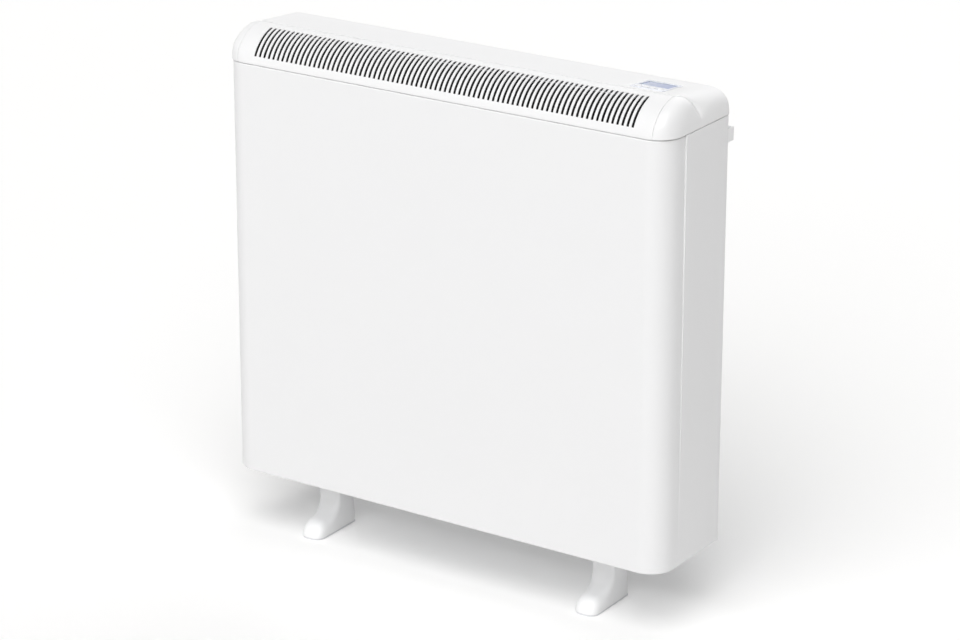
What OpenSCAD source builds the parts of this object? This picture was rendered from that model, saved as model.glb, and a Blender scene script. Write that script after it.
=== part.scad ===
// Storage heater: a slim steel case round a core of heat-storing bricks, standing on two swept feet.
// X is across the front, Y runs from the front to the wall, Z is up. Millimetres.
// The origin lies on the floor, midway across and midway between the front and the wall.

/* [Case] */
// Width of the case
body_w = 702; // [640:1:1000]
// Depth of the case, front panel to rear panel
body_d = 154; // [154:1:180]
// Height of the front panel, from its bottom edge to the seam under the top
panel_h = 596; // [590:1:680]
// Height of the panels' bottom edge above the floor
foot_h = 89; // [70:1:120]
// Radius of the front panel's upright corners
corner_r = 36; // [24:1:40]
// How far back the front panel wraps along each side
side_wrap = 47; // [44:1:60]
// Thickness of the case's sheet steel
sheet_t = 1.2; // [0.8:0.1:1.6]
// Gap between the rear panel and the wall
wall_gap = 30; // [20:1:45]
// Open joint between the front panel's wrap and the side panel
joint_gap = 1; // [0.6:0.1:2]
// Width of the panels' inward returns
return_w = 12; // [10:1:14]

/* [Top] */
// Height of the nose's crown above the seam
nose_h = 45; // [42:1:52]
// Depth of the nose, from the front to its crease with the top cover
nose_d = 58; // [54:1:62]
// Radius of the nose's front curve
nose_front_r = 44; // [40:1:44]
// Drop of that curve's centre below the seam
nose_drop = 6; // [5:1:10]
// Slope of the top cover, down towards the wall, in degrees
cover_slope = 5.5; // [3:0.5:7]
// Radius of the top cover's rounded ends
cover_end_r = 26; // [20:1:30]
// Radius of the top cover's rear edge
cover_rear_r = 7; // [4:1:10]
// Width of each domed end cap of the nose
cap_w = 25; // [20:1:28]
// How much further the dome would reach if the side did not cut it
cap_spare = 3; // [2:0.5:5]
// Wall of the top's mouldings
top_wall = 2.4; // [2:0.1:3]
// Seam between the top and the panels
seam_gap = 0.8; // [0.5:0.1:0.9]

/* [Grille] */
// Pitch of the slots
slot_pitch = 7.5; // [6.5:0.1:9]
// Width of a slot
slot_w = 3.4; // [2.6:0.1:4]
// Least distance from the case's side to the first slot's centre
slot_margin = 54; // [48:1:70]
// Height of the slots' lower ends above the seam
slot_low = 12; // [9:1:16]
// Distance of the slots' upper ends behind the front
slot_back = 43; // [38:1:46]

/* [Feet] */
// Distance from each side of the case to the middle of its foot
foot_inset = 124; // [90:1:160]
// Width of a foot
foot_w = 35; // [28:1:44]
// Distance of the heel behind the front panel
heel_y = 101; // [98:1:110]
// Depth of the foot's post where it meets the case
post_d = 40; // [34:1:42]
// Length of a foot along the floor
foot_len = 90; // [86:1:94]
// Height of the toe
toe_h = 24; // [20:1:26]
// Radius of the sweep from the toe up to the post
sweep_r = 26; // [20:1:28]
// Thickness of the pad under each foot
pad_t = 3; // [2:0.5:5]

/* [Wall brackets] */
// Distance from the case's side to the bracket's web
bracket_inset = 9; // [6:1:16]
// Height of the bracket's middle above the panels' bottom edge
bracket_z = 562; // [520:1:566]
// Height of the bracket's strip
bracket_h = 18; // [14:1:24]
// Thickness of the bracket's strip
bracket_t = 2; // [1.5:0.5:3]
// Length of the bracket's two flanges
bracket_flange = 28; // [24:1:34]
// Diameter of the hole for the wall screw
wall_hole_d = 7; // [5:0.5:8]

/* [Control panel] */
// Distance from the case's right side to the middle of the control panel
panel_inset = 73; // [66:1:90]
// Distance from the crease to the panel's front edge, along the cover
panel_start = 9; // [7:1:12]
// Width and depth of the control panel
panel_size = 50; // [46:1:54]
// Width of the display's window
window_w = 44; // [38:1:44]
// Depth of the display's window
window_d = 29; // [26:1:30]
// Diameter of a button
button_d = 7.6; // [6:0.2:8]
// Pitch of the buttons
button_pitch = 11; // [10.5:0.1:11.5]
// How far a button stands proud
button_proud = 1; // [0.8:0.1:1.5]
// How far a button travels
button_travel = 0.6; // [0.3:0.1:0.8]

/* [Core] */
// Length of a storage brick
brick_l = 178; // [150:1:180]
// Height of a storage brick
brick_h = 54; // [50:1:54]
// Depth of a storage brick
brick_d = 86; // [80:1:88]
// Thickness of the front insulation
ins_front_t = 20; // [16:1:21]
// Thickness of the rear insulation
ins_rear_t = 16; // [12:1:16]
// Thickness of the end insulation
ins_side_t = 22; // [18:1:24]
// Thickness of the insulation under and over the core
ins_flat_t = 25; // [20:1:26]
// Air gap between the front panel and the inner case
front_gap = 13.8; // [12:0.2:15]
// Air channel in front of the bricks
channel_d = 10; // [8:1:10]
// Air gap between the left side panel and the inner case
left_gap = 12; // [8:1:16]
// Least width left for the electrical parts
electric_w = 106; // [95:1:125]
// Height of the space for air under the core
under_core = 62; // [56:1:66]
// Thickness of the inner case's sheet
case_t = 0.8; // [0.6:0.1:1]
// Diameter of a heating element's sheath
element_d = 8; // [6.5:0.5:8.5]
// Distance between an element's two legs
leg_gap = 42; // [36:1:44]

/* [Damper] */
// Width of the damper flap
flap_w = 21; // [18:1:22]
// Diameter of the damper's rod
rod_d = 5; // [4:0.5:6]

/* [Hidden] */

$fn = 64;
fit = 0.3;          // gap between two pieces that seat on each other
eps = 0.01;         // overrun of a cut
far = 400;          // longer than any piece that it trims

// ---- Places shared by several pieces, in the case's own frame:
// ---- x from the middle, y from the front panel's face, z from the panels' bottom edge
front_y = -(body_d + wall_gap) / 2;
inner_w = body_w - 2 * sheet_t;
inner_back = body_d - 2 * sheet_t - 2 * fit;     // clear of the side panels' rear returns
tray_z = 3;                                      // underside of the base plate
tray_top = tray_z + sheet_t;
lip_h = 18;                                      // the base plate's upturned edge
return_z = tray_z + lip_h + 2;                   // returns start above that edge

// Nose profile: two arcs that meet with one tangent, in (y, z above the seam)
nose_top_r = (pow(nose_d - nose_front_r, 2) + pow(nose_h + nose_drop, 2) - pow(nose_front_r, 2))
    / (2 * (nose_h + nose_drop - nose_front_r));
nose_c1 = [nose_front_r, -nose_drop];
nose_c2 = [nose_d, nose_h - nose_top_r];
nose_u = (nose_c1 - nose_c2) / norm(nose_c1 - nose_c2);
nose_n = [-nose_u[1], nose_u[0]];

// Slots
slot_n = floor((body_w - 2 * slot_margin) / slot_pitch) + 1;
slot_x0 = -(slot_n - 1) * slot_pitch / 2;
grille_half = body_w / 2 - cap_w;

// Core, worked out from the front and from the left
case_y = front_gap + sheet_t;
core_y = case_y + case_t + ins_front_t + channel_d;
case_d = case_t + ins_front_t + channel_d + brick_d + fit + ins_rear_t + case_t;
case_x = -inner_w / 2 + left_gap;
core_x = case_x + case_t + ins_side_t + fit;
columns = floor((inner_w - left_gap - 2 * (case_t + ins_side_t + fit) - electric_w) / (brick_l + fit));
core_w = columns * (brick_l + fit) - fit;
case_w = core_w + 2 * (case_t + ins_side_t + fit);
case_right = case_x + case_w;
case_floor = under_core + case_t;
core_z = case_floor + ins_flat_t + fit;
tiers = 4;
course = brick_h + fit;
core_top = core_z + 2 * tiers * course - fit;
case_top = core_top + fit + ins_flat_t;
lid_top = case_top + fit + case_t;
leg_y = [for (s = [-1, 1]) core_y + brick_d / 2 + s * leg_gap / 2];
element_out = 22;                                // cold end beyond the inner case
pin_l = 10;                                      // terminal pin beyond the cold end
pin_d = 4;
bush_d = element_d + 7;

// Core stands and the top-up element between them
stand_t = 2;
stand_x = [case_x + 40, (case_x + case_right) / 2, case_right - 40];
top_up_z = 34;
top_up_y = [58, 108];
top_up_d = 8;

// Outlet duct and damper
duct_half = body_w / 2 - 44;
duct_t = 0.8;
duct_z = lid_top;
duct_back = nose_d - top_wall - fit - 0.5;
duct_front = case_y + case_t;
vent_y0 = duct_front + ins_front_t + 0.5;
vent_y1 = vent_y0 + channel_d - 1;
vent_half = core_w / 2 - 50;
vent_x = core_x + core_w / 2;
flap_t = 1;
knuckle_w = 16;
knuckle_d = rod_d + 1.5;
rod_y = vent_y1 + knuckle_d / 2;
rod_z = duct_z + duct_t + knuckle_d / 2 + fit;
rod_clear = 0.1;                                 // on the diameter
motor_w = 30;
motor_x = duct_half + duct_t + 2;

// Control panel, in the frame of the sloping cover: x, distance behind the crease, height over it
panel_x = body_w / 2 - panel_inset;
panel_mid = panel_start + panel_size / 2;
window_mid = panel_start + panel_size - 3 - window_d / 2;
key_row = panel_start + 8.5;
key_clear = 0.25;
board_depth = 8;
board_t = 1.6;
tray_depth = 14;
tray_wall = 1.6;
tray_w = panel_size + 36;
tray_d = panel_size + 8;

// Feet
foot_x = body_w / 2 - foot_inset;
foot_top = foot_h + tray_z;
toe_y = heel_y - foot_len;
heel_lean = 7;                                   // how far the post's back leans in towards its top
heel_r = 5;
foot_screw_y = [heel_y - post_d + 9, heel_y - heel_lean - 9];
foot_screw_d = 5;

// Air inlets in the base plate
inlet_pitch = 18;
inlet_y = [22, 44, 112];
inlet_n = floor((body_w / 2 - corner_r - 20) / inlet_pitch);
rear_vent_w = 24;
rear_vent_pitch = 32;
rear_vent_n = floor((body_w / 2 - 110) / rear_vent_pitch);

// Electrical plate, clear of the elements' pins, and what it carries
plate_x = inner_w / 2 - electric_w + element_out + pin_l + sheet_t;
plate_t = 1.2;
plate_y0 = 34;
plate_y1 = 126;
plate_z1 = 430;
plate_foot = 16;
power_z = 220;
power_h = 150;
power_d = 76;
relay_pitch = 40;

// Fixings
screw_d = 4;
screw_hole_d = 4.4;
screw_head_d = 8;
screw_head_t = 2.2;
panel_screw_z = [60, panel_h / 2, panel_h - 60];
panel_screw_x = body_w / 2 - sheet_t - return_w / 2;
cover_tab_x = [-body_w / 2 + 90, 0, body_w / 2 - 90];
cover_screw_z = 8;
tab_h = 14;
bracket_screw_dx = [9, 20];
gland_x = plate_x + plate_foot + 10;
earth_y = 60;
gland_z = 40;
gland_bore_d = 10;
gland_d = 20;

// ---- Helpers

// Draws its children in the case's own frame
module in_case() translate([0, front_y, foot_h]) children();

// Draws its children on the sloping cover: z = 0 is its surface, y runs back from the crease
module on_cover() in_case() translate([0, nose_d, panel_h + nose_h]) rotate([-cover_slope, 0, 0]) children();

// Extrudes a (y, z) profile along X from x0 to x1
module along_x(x0, x1) translate([x0, 0, 0]) rotate([90, 0, 90]) linear_extrude(x1 - x0) children();

// Extrudes an (x, z) profile along Y from y0 to y1
module along_y(y0, y1) translate([0, y1, 0]) rotate([90, 0, 0]) linear_extrude(y1 - y0) children();

// The case's plan, drawn in by a distance on every side, up to a given back
module plan(inset, back) {
    w = body_w - 2 * inset;
    r = corner_r - inset;
    translate([-w / 2, corner_r]) square([w, back - corner_r]);
    translate([-w / 2 + r, inset]) square([w - 2 * r, corner_r - inset + eps]);
    for (s = [-1, 1]) translate([s * (w / 2 - r), corner_r]) circle(r);
}

// The nose's (y, z) profile above the seam, drawn in by a distance
module nose_outline(inset) {
    intersection() {
        union() {
            intersection() {
                translate(nose_c1) circle(nose_front_r - inset, $fn = 128);
                polygon([nose_c1 - nose_u * far, nose_c1 + nose_u * far,
                    nose_c1 + (nose_u + nose_n) * far, nose_c1 + (nose_n - nose_u) * far]);
            }
            intersection() {
                translate(nose_c2) circle(nose_top_r - inset, $fn = 192);
                polygon([nose_c1 - nose_u * far, nose_c1 + nose_u * far,
                    nose_c1 + (nose_u - nose_n) * far, nose_c1 - (nose_n + nose_u) * far]);
            }
        }
        translate([-far, 0]) square([far + nose_d, far]);
    }
}

// The top cover's (x, z) end profile, drawn in by a distance: flat with round ends
module cover_end_outline(inset) {
    w = body_w - 2 * inset;
    r = cover_end_r - inset;
    translate([-w / 2, -far]) square([w, far - cover_end_r]);
    translate([-w / 2 + r, -far]) square([w - 2 * r, far - inset]);
    for (s = [-1, 1]) translate([s * (w / 2 - r), -cover_end_r]) circle(r);
}

// The top cover's whole form, drawn in by a distance
module cover_form(inset) {
    low = panel_h + (inset > 0 ? 0 : seam_gap);
    back = body_d - inset;
    rear_r = cover_rear_r - min(inset, cover_rear_r - 1);
    rear_top = nose_h - inset - (back - nose_d) * tan(cover_slope);
    intersection() {
        translate([-body_w / 2 + inset, nose_d + inset, low]) cube([body_w - 2 * inset, back - nose_d - inset, far]);
        translate([0, nose_d, panel_h + nose_h]) rotate([-cover_slope, 0, 0])
            along_y(-far / 4, far / 2) cover_end_outline(inset);
        along_x(-far * 2, far * 2) union() {
            translate([0, panel_h - eps]) square([back - rear_r, far]);
            translate([0, panel_h - eps]) square([back, rear_top - rear_r]);
            translate([back - rear_r, panel_h + rear_top - rear_r]) circle(rear_r);
        }
    }
}

// A pan-head screw along -Z: its head's underside is at z = 0
module screw(length, d = screw_d) {
    rotate_extrude() polygon([[0, screw_head_t], [screw_head_d * 0.3, screw_head_t],
        [screw_head_d / 2, screw_head_t * 0.45], [screw_head_d / 2, 0], [d / 2, 0],
        [d / 2, -length + d / 4], [d / 4, -length], [0, -length]]);
}

// A sheathed hairpin: two legs along X joined by a half turn at x0
module hairpin(x0, x1, ys, z, d) {
    span = ys[1] - ys[0];
    turn_x = x0 + span / 2 + d / 2;
    for (y = ys) translate([turn_x, y, z]) rotate([0, 90, 0]) cylinder(d = d, h = x1 - turn_x, $fn = 32);
    translate([turn_x, (ys[0] + ys[1]) / 2, z]) rotate([0, 0, 90]) rotate_extrude(angle = 180, $fn = 48)
        translate([span / 2, 0]) circle(d = d, $fn = 32);
}

// ---- Case

// Front sheet, wrapped round both upright corners, with returns at its hidden edges
module front_panel() color([0.95, 0.95, 0.96]) in_case() {
    intersection() {
        linear_extrude(panel_h) difference() {
            plan(0, body_d);
            plan(sheet_t, body_d + 1);
        }
        translate([-far * 2, -1, 0]) cube([far * 4, side_wrap + 1, panel_h]);
    }
    for (s = [-1, 1]) translate([s * (body_w / 2 - return_w / 2), side_wrap - sheet_t / 2,
        (return_z + panel_h) / 2]) cube([return_w, sheet_t, panel_h - return_z], center = true);
    translate([0, 0, panel_h - sheet_t]) linear_extrude(sheet_t) intersection() {
        difference() {
            plan(0, body_d);
            plan(return_w, body_d + 1);
        }
        translate([-far * 2, -1]) square([far * 4, side_wrap + 1]);
    }
}

// Flat side sheet with front, rear and top returns; s is -1 on the left and 1 on the right
module side_panel(s) color([0.9, 0.9, 0.91]) in_case() {
    y0 = side_wrap + joint_gap;
    inside = body_w / 2 - return_w;
    rear_return = inner_back + fit;
    translate([s > 0 ? body_w / 2 - sheet_t : -body_w / 2, y0, 0]) cube([sheet_t, body_d - y0, panel_h]);
    translate([s > 0 ? inside : -body_w / 2, y0, return_z]) cube([return_w, sheet_t, panel_h - return_z]);
    difference() {
        translate([s > 0 ? inside : -body_w / 2, rear_return, return_z])
            cube([return_w, sheet_t, panel_h - return_z]);
        for (z = panel_screw_z) translate([s * panel_screw_x, rear_return - 1, z]) rotate([-90, 0, 0])
            cylinder(d = screw_hole_d, h = sheet_t + 2);
    }
    translate([s > 0 ? inside : -body_w / 2, y0, panel_h - sheet_t])
        cube([return_w, rear_return + sheet_t - y0, sheet_t]);
}
module side_panel_left() side_panel(-1);
module side_panel_right() side_panel(1);

// Flat rear sheet with vents, fixing holes, the cable's hole and tabs that hold the top cover
module rear_panel() color([0.86, 0.87, 0.88]) in_case() {
    half = body_w / 2 - sheet_t - fit;
    tab_y = body_d - top_wall - fit - sheet_t;
    difference() {
        translate([-half, body_d - sheet_t, 0]) cube([2 * half, sheet_t, panel_h]);
        for (s = [-1, 1], z = panel_screw_z) rear_hole(s * panel_screw_x, z, screw_hole_d);
        for (s = [-1, 1], dx = bracket_screw_dx)
            rear_hole(s * (body_w / 2 - bracket_inset - dx), bracket_z, screw_hole_d);
        rear_hole(gland_x, gland_z, gland_d - 4);
        for (i = [-rear_vent_n : rear_vent_n], z = [18, panel_h - 42])
            translate([i * rear_vent_pitch - rear_vent_w / 2, body_d - sheet_t - 1, z])
                cube([rear_vent_w, sheet_t + 2, 3.6]);
    }
    difference() {
        union() {
            translate([-half + return_w, tab_y, panel_h - sheet_t])
                cube([2 * (half - return_w), body_d - tab_y, sheet_t]);
            for (x = cover_tab_x) translate([x - 10, tab_y, panel_h - sheet_t])
                cube([20, sheet_t, tab_h + sheet_t]);
        }
        for (x = cover_tab_x) rear_hole(x, panel_h + cover_screw_z, screw_hole_d);
    }
}
module rear_hole(x, z, d) translate([x, body_d + 1, z]) rotate([90, 0, 0]) cylinder(d = d, h = 12);

// Base tray with upturned edges and rows of air inlet slots
module base_plate() color([0.8, 0.81, 0.82]) in_case() translate([0, 0, tray_z]) {
    edge = sheet_t + fit;
    difference() {
        linear_extrude(lip_h) plan(edge, inner_back);
        translate([0, 0, sheet_t]) linear_extrude(lip_h) plan(edge + sheet_t, inner_back - sheet_t);
        for (i = [-inlet_n : inlet_n], y = inlet_y) if (abs(abs(i * inlet_pitch) - foot_x) > foot_w / 2 + 8)
            translate([i * inlet_pitch - 6, y, -1]) cube([12, 6, sheet_t + 2]);
        for (s = [-1, 1], y = foot_screw_y) translate([s * foot_x, y, -1])
            cylinder(d = foot_screw_d + 0.4, h = sheet_t + 2);
        translate([gland_x, earth_y, -1]) cylinder(d = screw_hole_d, h = sheet_t + 2);
    }
}

// ---- Top

// Sloping rear moulding of the top, with its front wall, screw holes and control panel opening
module top_cover() color([0.94, 0.94, 0.94]) difference() {
    in_case() difference() {
        cover_form(0);
        cover_form(top_wall);
        for (x = cover_tab_x) rear_hole(x, panel_h + cover_screw_z, screw_hole_d);
    }
    on_cover() translate([panel_x, panel_mid, 0])
        cube([panel_size + 2 * fit, panel_size + 2 * fit, 12], center = true);
}

// Rounded front moulding of the top, cut by a row of slots that follow its curve
module air_outlet_grille() color([0.97, 0.97, 0.97]) in_case() {
    half = grille_half - fit / 2;
    low_out = [0, slot_low] - nose_c1;
    high_out = [slot_back, nose_c2[1] + sqrt(pow(nose_top_r, 2) - pow(nose_d - slot_back, 2))] - nose_c2;
    translate([0, 0, panel_h]) difference() {
        along_x(-half, half) difference() {
            intersection() {
                nose_outline(0);
                translate([-1, seam_gap]) square([nose_d + 1 - fit, far]);
            }
            intersection() {
                nose_outline(top_wall);
                translate([-1, -1]) square([nose_d + 1 - fit - top_wall, far]);
            }
            translate([nose_front_r, -1]) square([far, nose_h - 10 + 1]);
        }
        for (i = [0 : slot_n - 1]) translate([slot_x0 + i * slot_pitch - slot_w / 2, 0, 0])
            along_x(0, slot_w) polygon([nose_c1, nose_c1 + low_out * 2, [-nose_d, nose_d * 2],
                nose_c2 + high_out * 2, nose_c2]);
    }
}

// Domed end of the nose: an eighth of an egg, cut by the side and by the cover behind it
module end_cap_right() color([0.97, 0.97, 0.97]) in_case() difference() {
    x0 = grille_half + fit / 2;
    intersection() {
        cap_egg(0);
        translate([0, 0, panel_h + seam_gap]) linear_extrude(nose_h * 2) plan(0, body_d);
        translate([x0, -1, panel_h]) cube([cap_w, nose_d * 1.6, nose_h * 2]);
    }
    intersection() {
        cap_egg(top_wall);
        translate([0, 0, panel_h - 1]) linear_extrude(nose_h * 2) plan(top_wall, body_d);
    }
    translate([0, nose_d - fit, 0]) cube([far, far, far * 2]);
}
module end_cap_left() mirror([1, 0, 0]) end_cap_right();

// The dome's egg, drawn in by a distance
module cap_egg(inset) translate([grille_half, nose_d, panel_h - nose_drop])
    scale([cap_w + cap_spare - inset, nose_d - inset, nose_h + nose_drop - inset]) sphere(1, $fn = 96);

// ---- Control panel

// Flat plate round the display and the buttons
module display_bezel() color([0.88, 0.9, 0.94]) on_cover() difference() {
    translate([panel_x, panel_mid, -1.2]) cube([panel_size, panel_size, 3.6], center = true);
    translate([panel_x, window_mid, 0]) cube([window_w + 2 * fit, window_d + 2 * fit, 12], center = true);
    for (x = key_x()) translate([x, key_row, -6]) cylinder(d = button_d + 2 * key_clear, h = 12);
}
function key_x() = [for (i = [0 : 3]) panel_x + (i - 1.5) * button_pitch];

// Clear window over the display
module display_window() color([0.75, 0.8, 0.95, 0.5]) on_cover()
    translate([panel_x, window_mid, -0.6]) cube([window_w, window_d, 1.8], center = true);

// Liquid-crystal module under the window
module display_module() color([0.6, 0.64, 0.85]) on_cover()
    translate([panel_x, window_mid, -(1.5 + fit + (board_depth - fit)) / 2])
        cube([window_w - 2, window_d - 1, board_depth - 2 * fit - 1.5], center = true);

// Circuit board with the four switches under the buttons
module control_board() color([0.1, 0.35, 0.2]) on_cover() {
    switch_h = 0.9;
    translate([panel_x, panel_mid, -board_depth - board_t / 2])
        cube([tray_w - 2 * tray_wall - 2, tray_d - 2 * tray_wall - 2, board_t], center = true);
    for (x = key_x()) translate([x, key_row, -board_depth + switch_h / 2]) cube([6, 6, switch_h], center = true);
}

// Open tray that holds the board under the cover
module control_tray() color([0.25, 0.26, 0.28]) on_cover() translate([panel_x, panel_mid, 0]) {
    inner_w2 = tray_w - 2 * tray_wall;
    inner_d2 = tray_d - 2 * tray_wall;
    difference() {
        translate([-tray_w / 2, -tray_d / 2, -tray_depth - tray_wall])
            cube([tray_w, tray_d, tray_depth + tray_wall - top_wall - fit]);
        translate([-inner_w2 / 2, -inner_d2 / 2, -tray_depth]) cube([inner_w2, inner_d2, tray_depth]);
    }
    for (sx = [-1, 1], sy = [-1, 1]) translate([sx * (inner_w2 / 2 - 5), sy * (inner_d2 / 2 - 5), -tray_depth - eps])
        cylinder(d = 5, h = tray_depth - board_depth - board_t - fit + eps);
}

// Push button: cap, retaining flange and stem; i counts from the left
module button(i) color([0.93, 0.95, 0.98]) on_cover() translate([key_x()[i - 1], key_row, 0]) {
    flange_top = -3 - fit;
    switch_top = -board_depth + 0.9;
    stem_end = switch_top + button_travel + 0.2;
    rotate_extrude() polygon([[0, stem_end], [1.5, stem_end], [1.5, flange_top - 1],
        [button_d / 2 + 0.9, flange_top - 1], [button_d / 2 + 0.9, flange_top], [button_d / 2, flange_top],
        [button_d / 2, button_proud - 0.5], [button_d / 2 - 0.5, button_proud], [0, button_proud]]);
}
module button_1() button(1);
module button_2() button(2);
module button_3() button(3);
module button_4() button(4);

// ---- Feet

// Side outline of a foot above its pad, in (y, z): round toe, concave sweep up the post, leaning back
module foot_outline() {
    post_y = heel_y - post_d;
    toe_end = toe_y + toe_h;
    difference() {
        union() {
            translate([toe_end, pad_t]) square([heel_y - toe_end, foot_top - pad_t]);
            intersection() {
                translate([toe_end, 0]) circle(toe_h, $fn = 96);
                translate([toe_y, pad_t]) square([toe_h + 1, toe_h]);
            }
        }
        translate([post_y - sweep_r, toe_h + sweep_r]) circle(sweep_r, $fn = 96);
        translate([toe_y - 1, toe_h + sweep_r]) square([post_y - toe_y + 1, far]);
        translate([toe_y - 1, toe_h]) square([post_y - sweep_r - toe_y + 1, far]);
        polygon([[heel_y + 1, 16], [heel_y + 1, far], [heel_y - heel_lean, foot_top + eps],
            [heel_y, 16]]);
        difference() {
            translate([heel_y - heel_r, pad_t - 1]) square([heel_r + 1, heel_r + 1]);
            translate([heel_y - heel_r, pad_t + heel_r]) circle(heel_r);
        }
    }
}

// Plan of a foot: straight sides and a round toe
module foot_plan(inset) {
    w = foot_w - 2 * inset;
    r = foot_w * 0.42;
    translate([-w / 2, toe_y + r]) square([w, heel_y - inset - toe_y - r]);
    translate([-w / 2 + r - inset, toe_y + inset]) square([w - 2 * (r - inset), r]);
    for (s = [-1, 1]) translate([s * (w / 2 - r + inset), toe_y + r]) circle(r - inset);
}

module foot(s) color([0.96, 0.96, 0.96]) translate([s * foot_x, front_y, 0]) difference() {
    intersection() {
        along_x(-foot_w / 2, foot_w / 2) foot_outline();
        linear_extrude(foot_top) foot_plan(0);
    }
    for (y = foot_screw_y) translate([0, y, foot_top - 22]) cylinder(d = foot_screw_d + 0.2, h = 22 + 1);
}
module foot_left() foot(-1);
module foot_right() foot(1);

// Pad glued under a foot
module foot_pad(s) color([0.75, 0.76, 0.78]) translate([s * foot_x, front_y, 0])
    linear_extrude(pad_t) foot_plan(0.8);
module foot_pad_left() foot_pad(-1);
module foot_pad_right() foot_pad(1);

// Four screws down through the base plate into the feet
module foot_screws() color([0.7, 0.7, 0.72]) in_case()
    for (s = [-1, 1], y = foot_screw_y) translate([s * foot_x, y, tray_top]) screw(20, foot_screw_d);

// ---- Wall brackets and fixings

// Strip bent twice: a flange on the rear panel, a web out to the wall and a flange on the wall
module wall_bracket(s) color([0.93, 0.93, 0.93]) in_case() mirror([s < 0 ? 1 : 0, 0, 0]) {
    x1 = body_w / 2 - bracket_inset;
    difference() {
        translate([x1 - bracket_flange, body_d, bracket_z - bracket_h / 2]) difference() {
            cube([bracket_flange, wall_gap, bracket_h]);
            translate([-1, bracket_t, -1])
                cube([bracket_flange + 1 - bracket_t, wall_gap - 2 * bracket_t, bracket_h + 2]);
        }
        for (dx = bracket_screw_dx) translate([x1 - dx, body_d - 1, bracket_z]) rotate([-90, 0, 0])
            cylinder(d = screw_hole_d, h = bracket_t + 2);
        translate([x1 - bracket_flange / 2, body_d + wall_gap / 2, bracket_z]) rotate([-90, 0, 0])
            cylinder(d = wall_hole_d, h = wall_gap);
    }
}
module wall_bracket_left() wall_bracket(-1);
module wall_bracket_right() wall_bracket(1);

module bracket_screws() color([0.7, 0.7, 0.72]) in_case() for (s = [-1, 1], dx = bracket_screw_dx)
    translate([s * (body_w / 2 - bracket_inset - dx), body_d + bracket_t, bracket_z])
        rotate([-90, 0, 0]) screw(8);

module panel_screws() color([0.7, 0.7, 0.72]) in_case() for (s = [-1, 1], z = panel_screw_z)
    translate([s * panel_screw_x, body_d, z]) rotate([-90, 0, 0]) screw(9);

module cover_screws() color([0.7, 0.7, 0.72]) in_case() for (x = cover_tab_x)
    translate([x, body_d, panel_h + cover_screw_z]) rotate([-90, 0, 0]) screw(9);

// ---- Core

// Sheet box round the core, open at the top, with an air slot in its floor and holes for the cold ends
module inner_case() color([0.75, 0.76, 0.77]) in_case() difference() {
    translate([case_x, case_y, under_core]) cube([case_w, case_d, case_top - under_core]);
    translate([case_x + case_t, case_y + case_t, case_floor])
        cube([case_w - 2 * case_t, case_d - 2 * case_t, case_top]);
    translate([vent_x - vent_half, vent_y0, under_core - 1]) cube([2 * vent_half, channel_d - 1, case_t + 2]);
    cold_end_holes(bush_d);
    sensor_hole(7);
}
module cold_end_holes(d) for (t = [0 : tiers - 1], y = leg_y)
    translate([core_x + core_w, y, element_z(t)]) rotate([0, 90, 0]) cylinder(d = d, h = ins_side_t + 10);
function element_z(t) = core_z + (2 * t + 1) * course - fit / 2;

// Lid of the inner case with the long vent that the damper covers
module inner_case_lid() color([0.75, 0.76, 0.77]) in_case() difference() {
    translate([case_x, case_y, case_top + fit]) cube([case_w, case_d, case_t]);
    translate([vent_x - vent_half, vent_y0, case_top]) cube([2 * vent_half, vent_y1 - vent_y0, 4]);
}

// Three bridges that carry the core above the base plate and hold the top-up element
module core_stands() color([0.7, 0.71, 0.73]) in_case() for (x = stand_x) {
    y0 = case_y + 6;
    y1 = case_y + case_d - 6;
    difference() {
        translate([x, y0, tray_top]) cube([stand_t, y1 - y0, under_core - tray_top]);
        for (y = top_up_y) translate([x - 1, y, top_up_z]) rotate([0, 90, 0])
            cylinder(d = top_up_d + 0.6, h = stand_t + 2);
        translate([x - 1, y0 + 12, tray_top - 1]) cube([stand_t + 2, y1 - y0 - 24, 12]);
    }
    for (z = [tray_top, under_core - stand_t]) translate([x, y0, z]) cube([14, 12, stand_t]);
    for (z = [tray_top, under_core - stand_t]) translate([x, y1 - 12, z]) cube([14, 12, stand_t]);
}

module insulation_front() color([0.93, 0.9, 0.82]) in_case()
    translate([case_x + case_t + ins_side_t + fit, case_y + case_t, core_z])
        cube([core_w, ins_front_t, core_top - core_z]);

module insulation_rear() color([0.93, 0.9, 0.82]) in_case()
    translate([case_x + case_t + ins_side_t + fit, core_y + brick_d + fit, core_z])
        cube([core_w, ins_rear_t, core_top - core_z]);

module insulation_left() color([0.93, 0.9, 0.82]) in_case()
    translate([case_x + case_t, case_y + case_t, core_z])
        cube([ins_side_t, case_d - 2 * case_t, core_top - core_z]);

module insulation_right() color([0.93, 0.9, 0.82]) in_case() difference() {
    translate([core_x + core_w + fit, case_y + case_t, core_z])
        cube([ins_side_t, case_d - 2 * case_t, core_top - core_z]);
    cold_end_holes(bush_d);
    sensor_hole(7);
}

module insulation_base() color([0.93, 0.9, 0.82]) in_case() difference() {
    translate([case_x + case_t, case_y + case_t, case_floor])
        cube([case_w - 2 * case_t, case_d - 2 * case_t, ins_flat_t]);
    translate([vent_x - vent_half, vent_y0, case_floor - 1]) cube([2 * vent_half, channel_d - 1, ins_flat_t + 2]);
}

module insulation_top() color([0.93, 0.9, 0.82]) in_case() difference() {
    translate([case_x + case_t, case_y + case_t, core_top + fit])
        cube([case_w - 2 * case_t, case_d - 2 * case_t, ins_flat_t - fit]);
    translate([vent_x - vent_half, vent_y0, core_top]) cube([2 * vent_half, vent_y1 - vent_y0, ins_flat_t + 2]);
}

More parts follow.
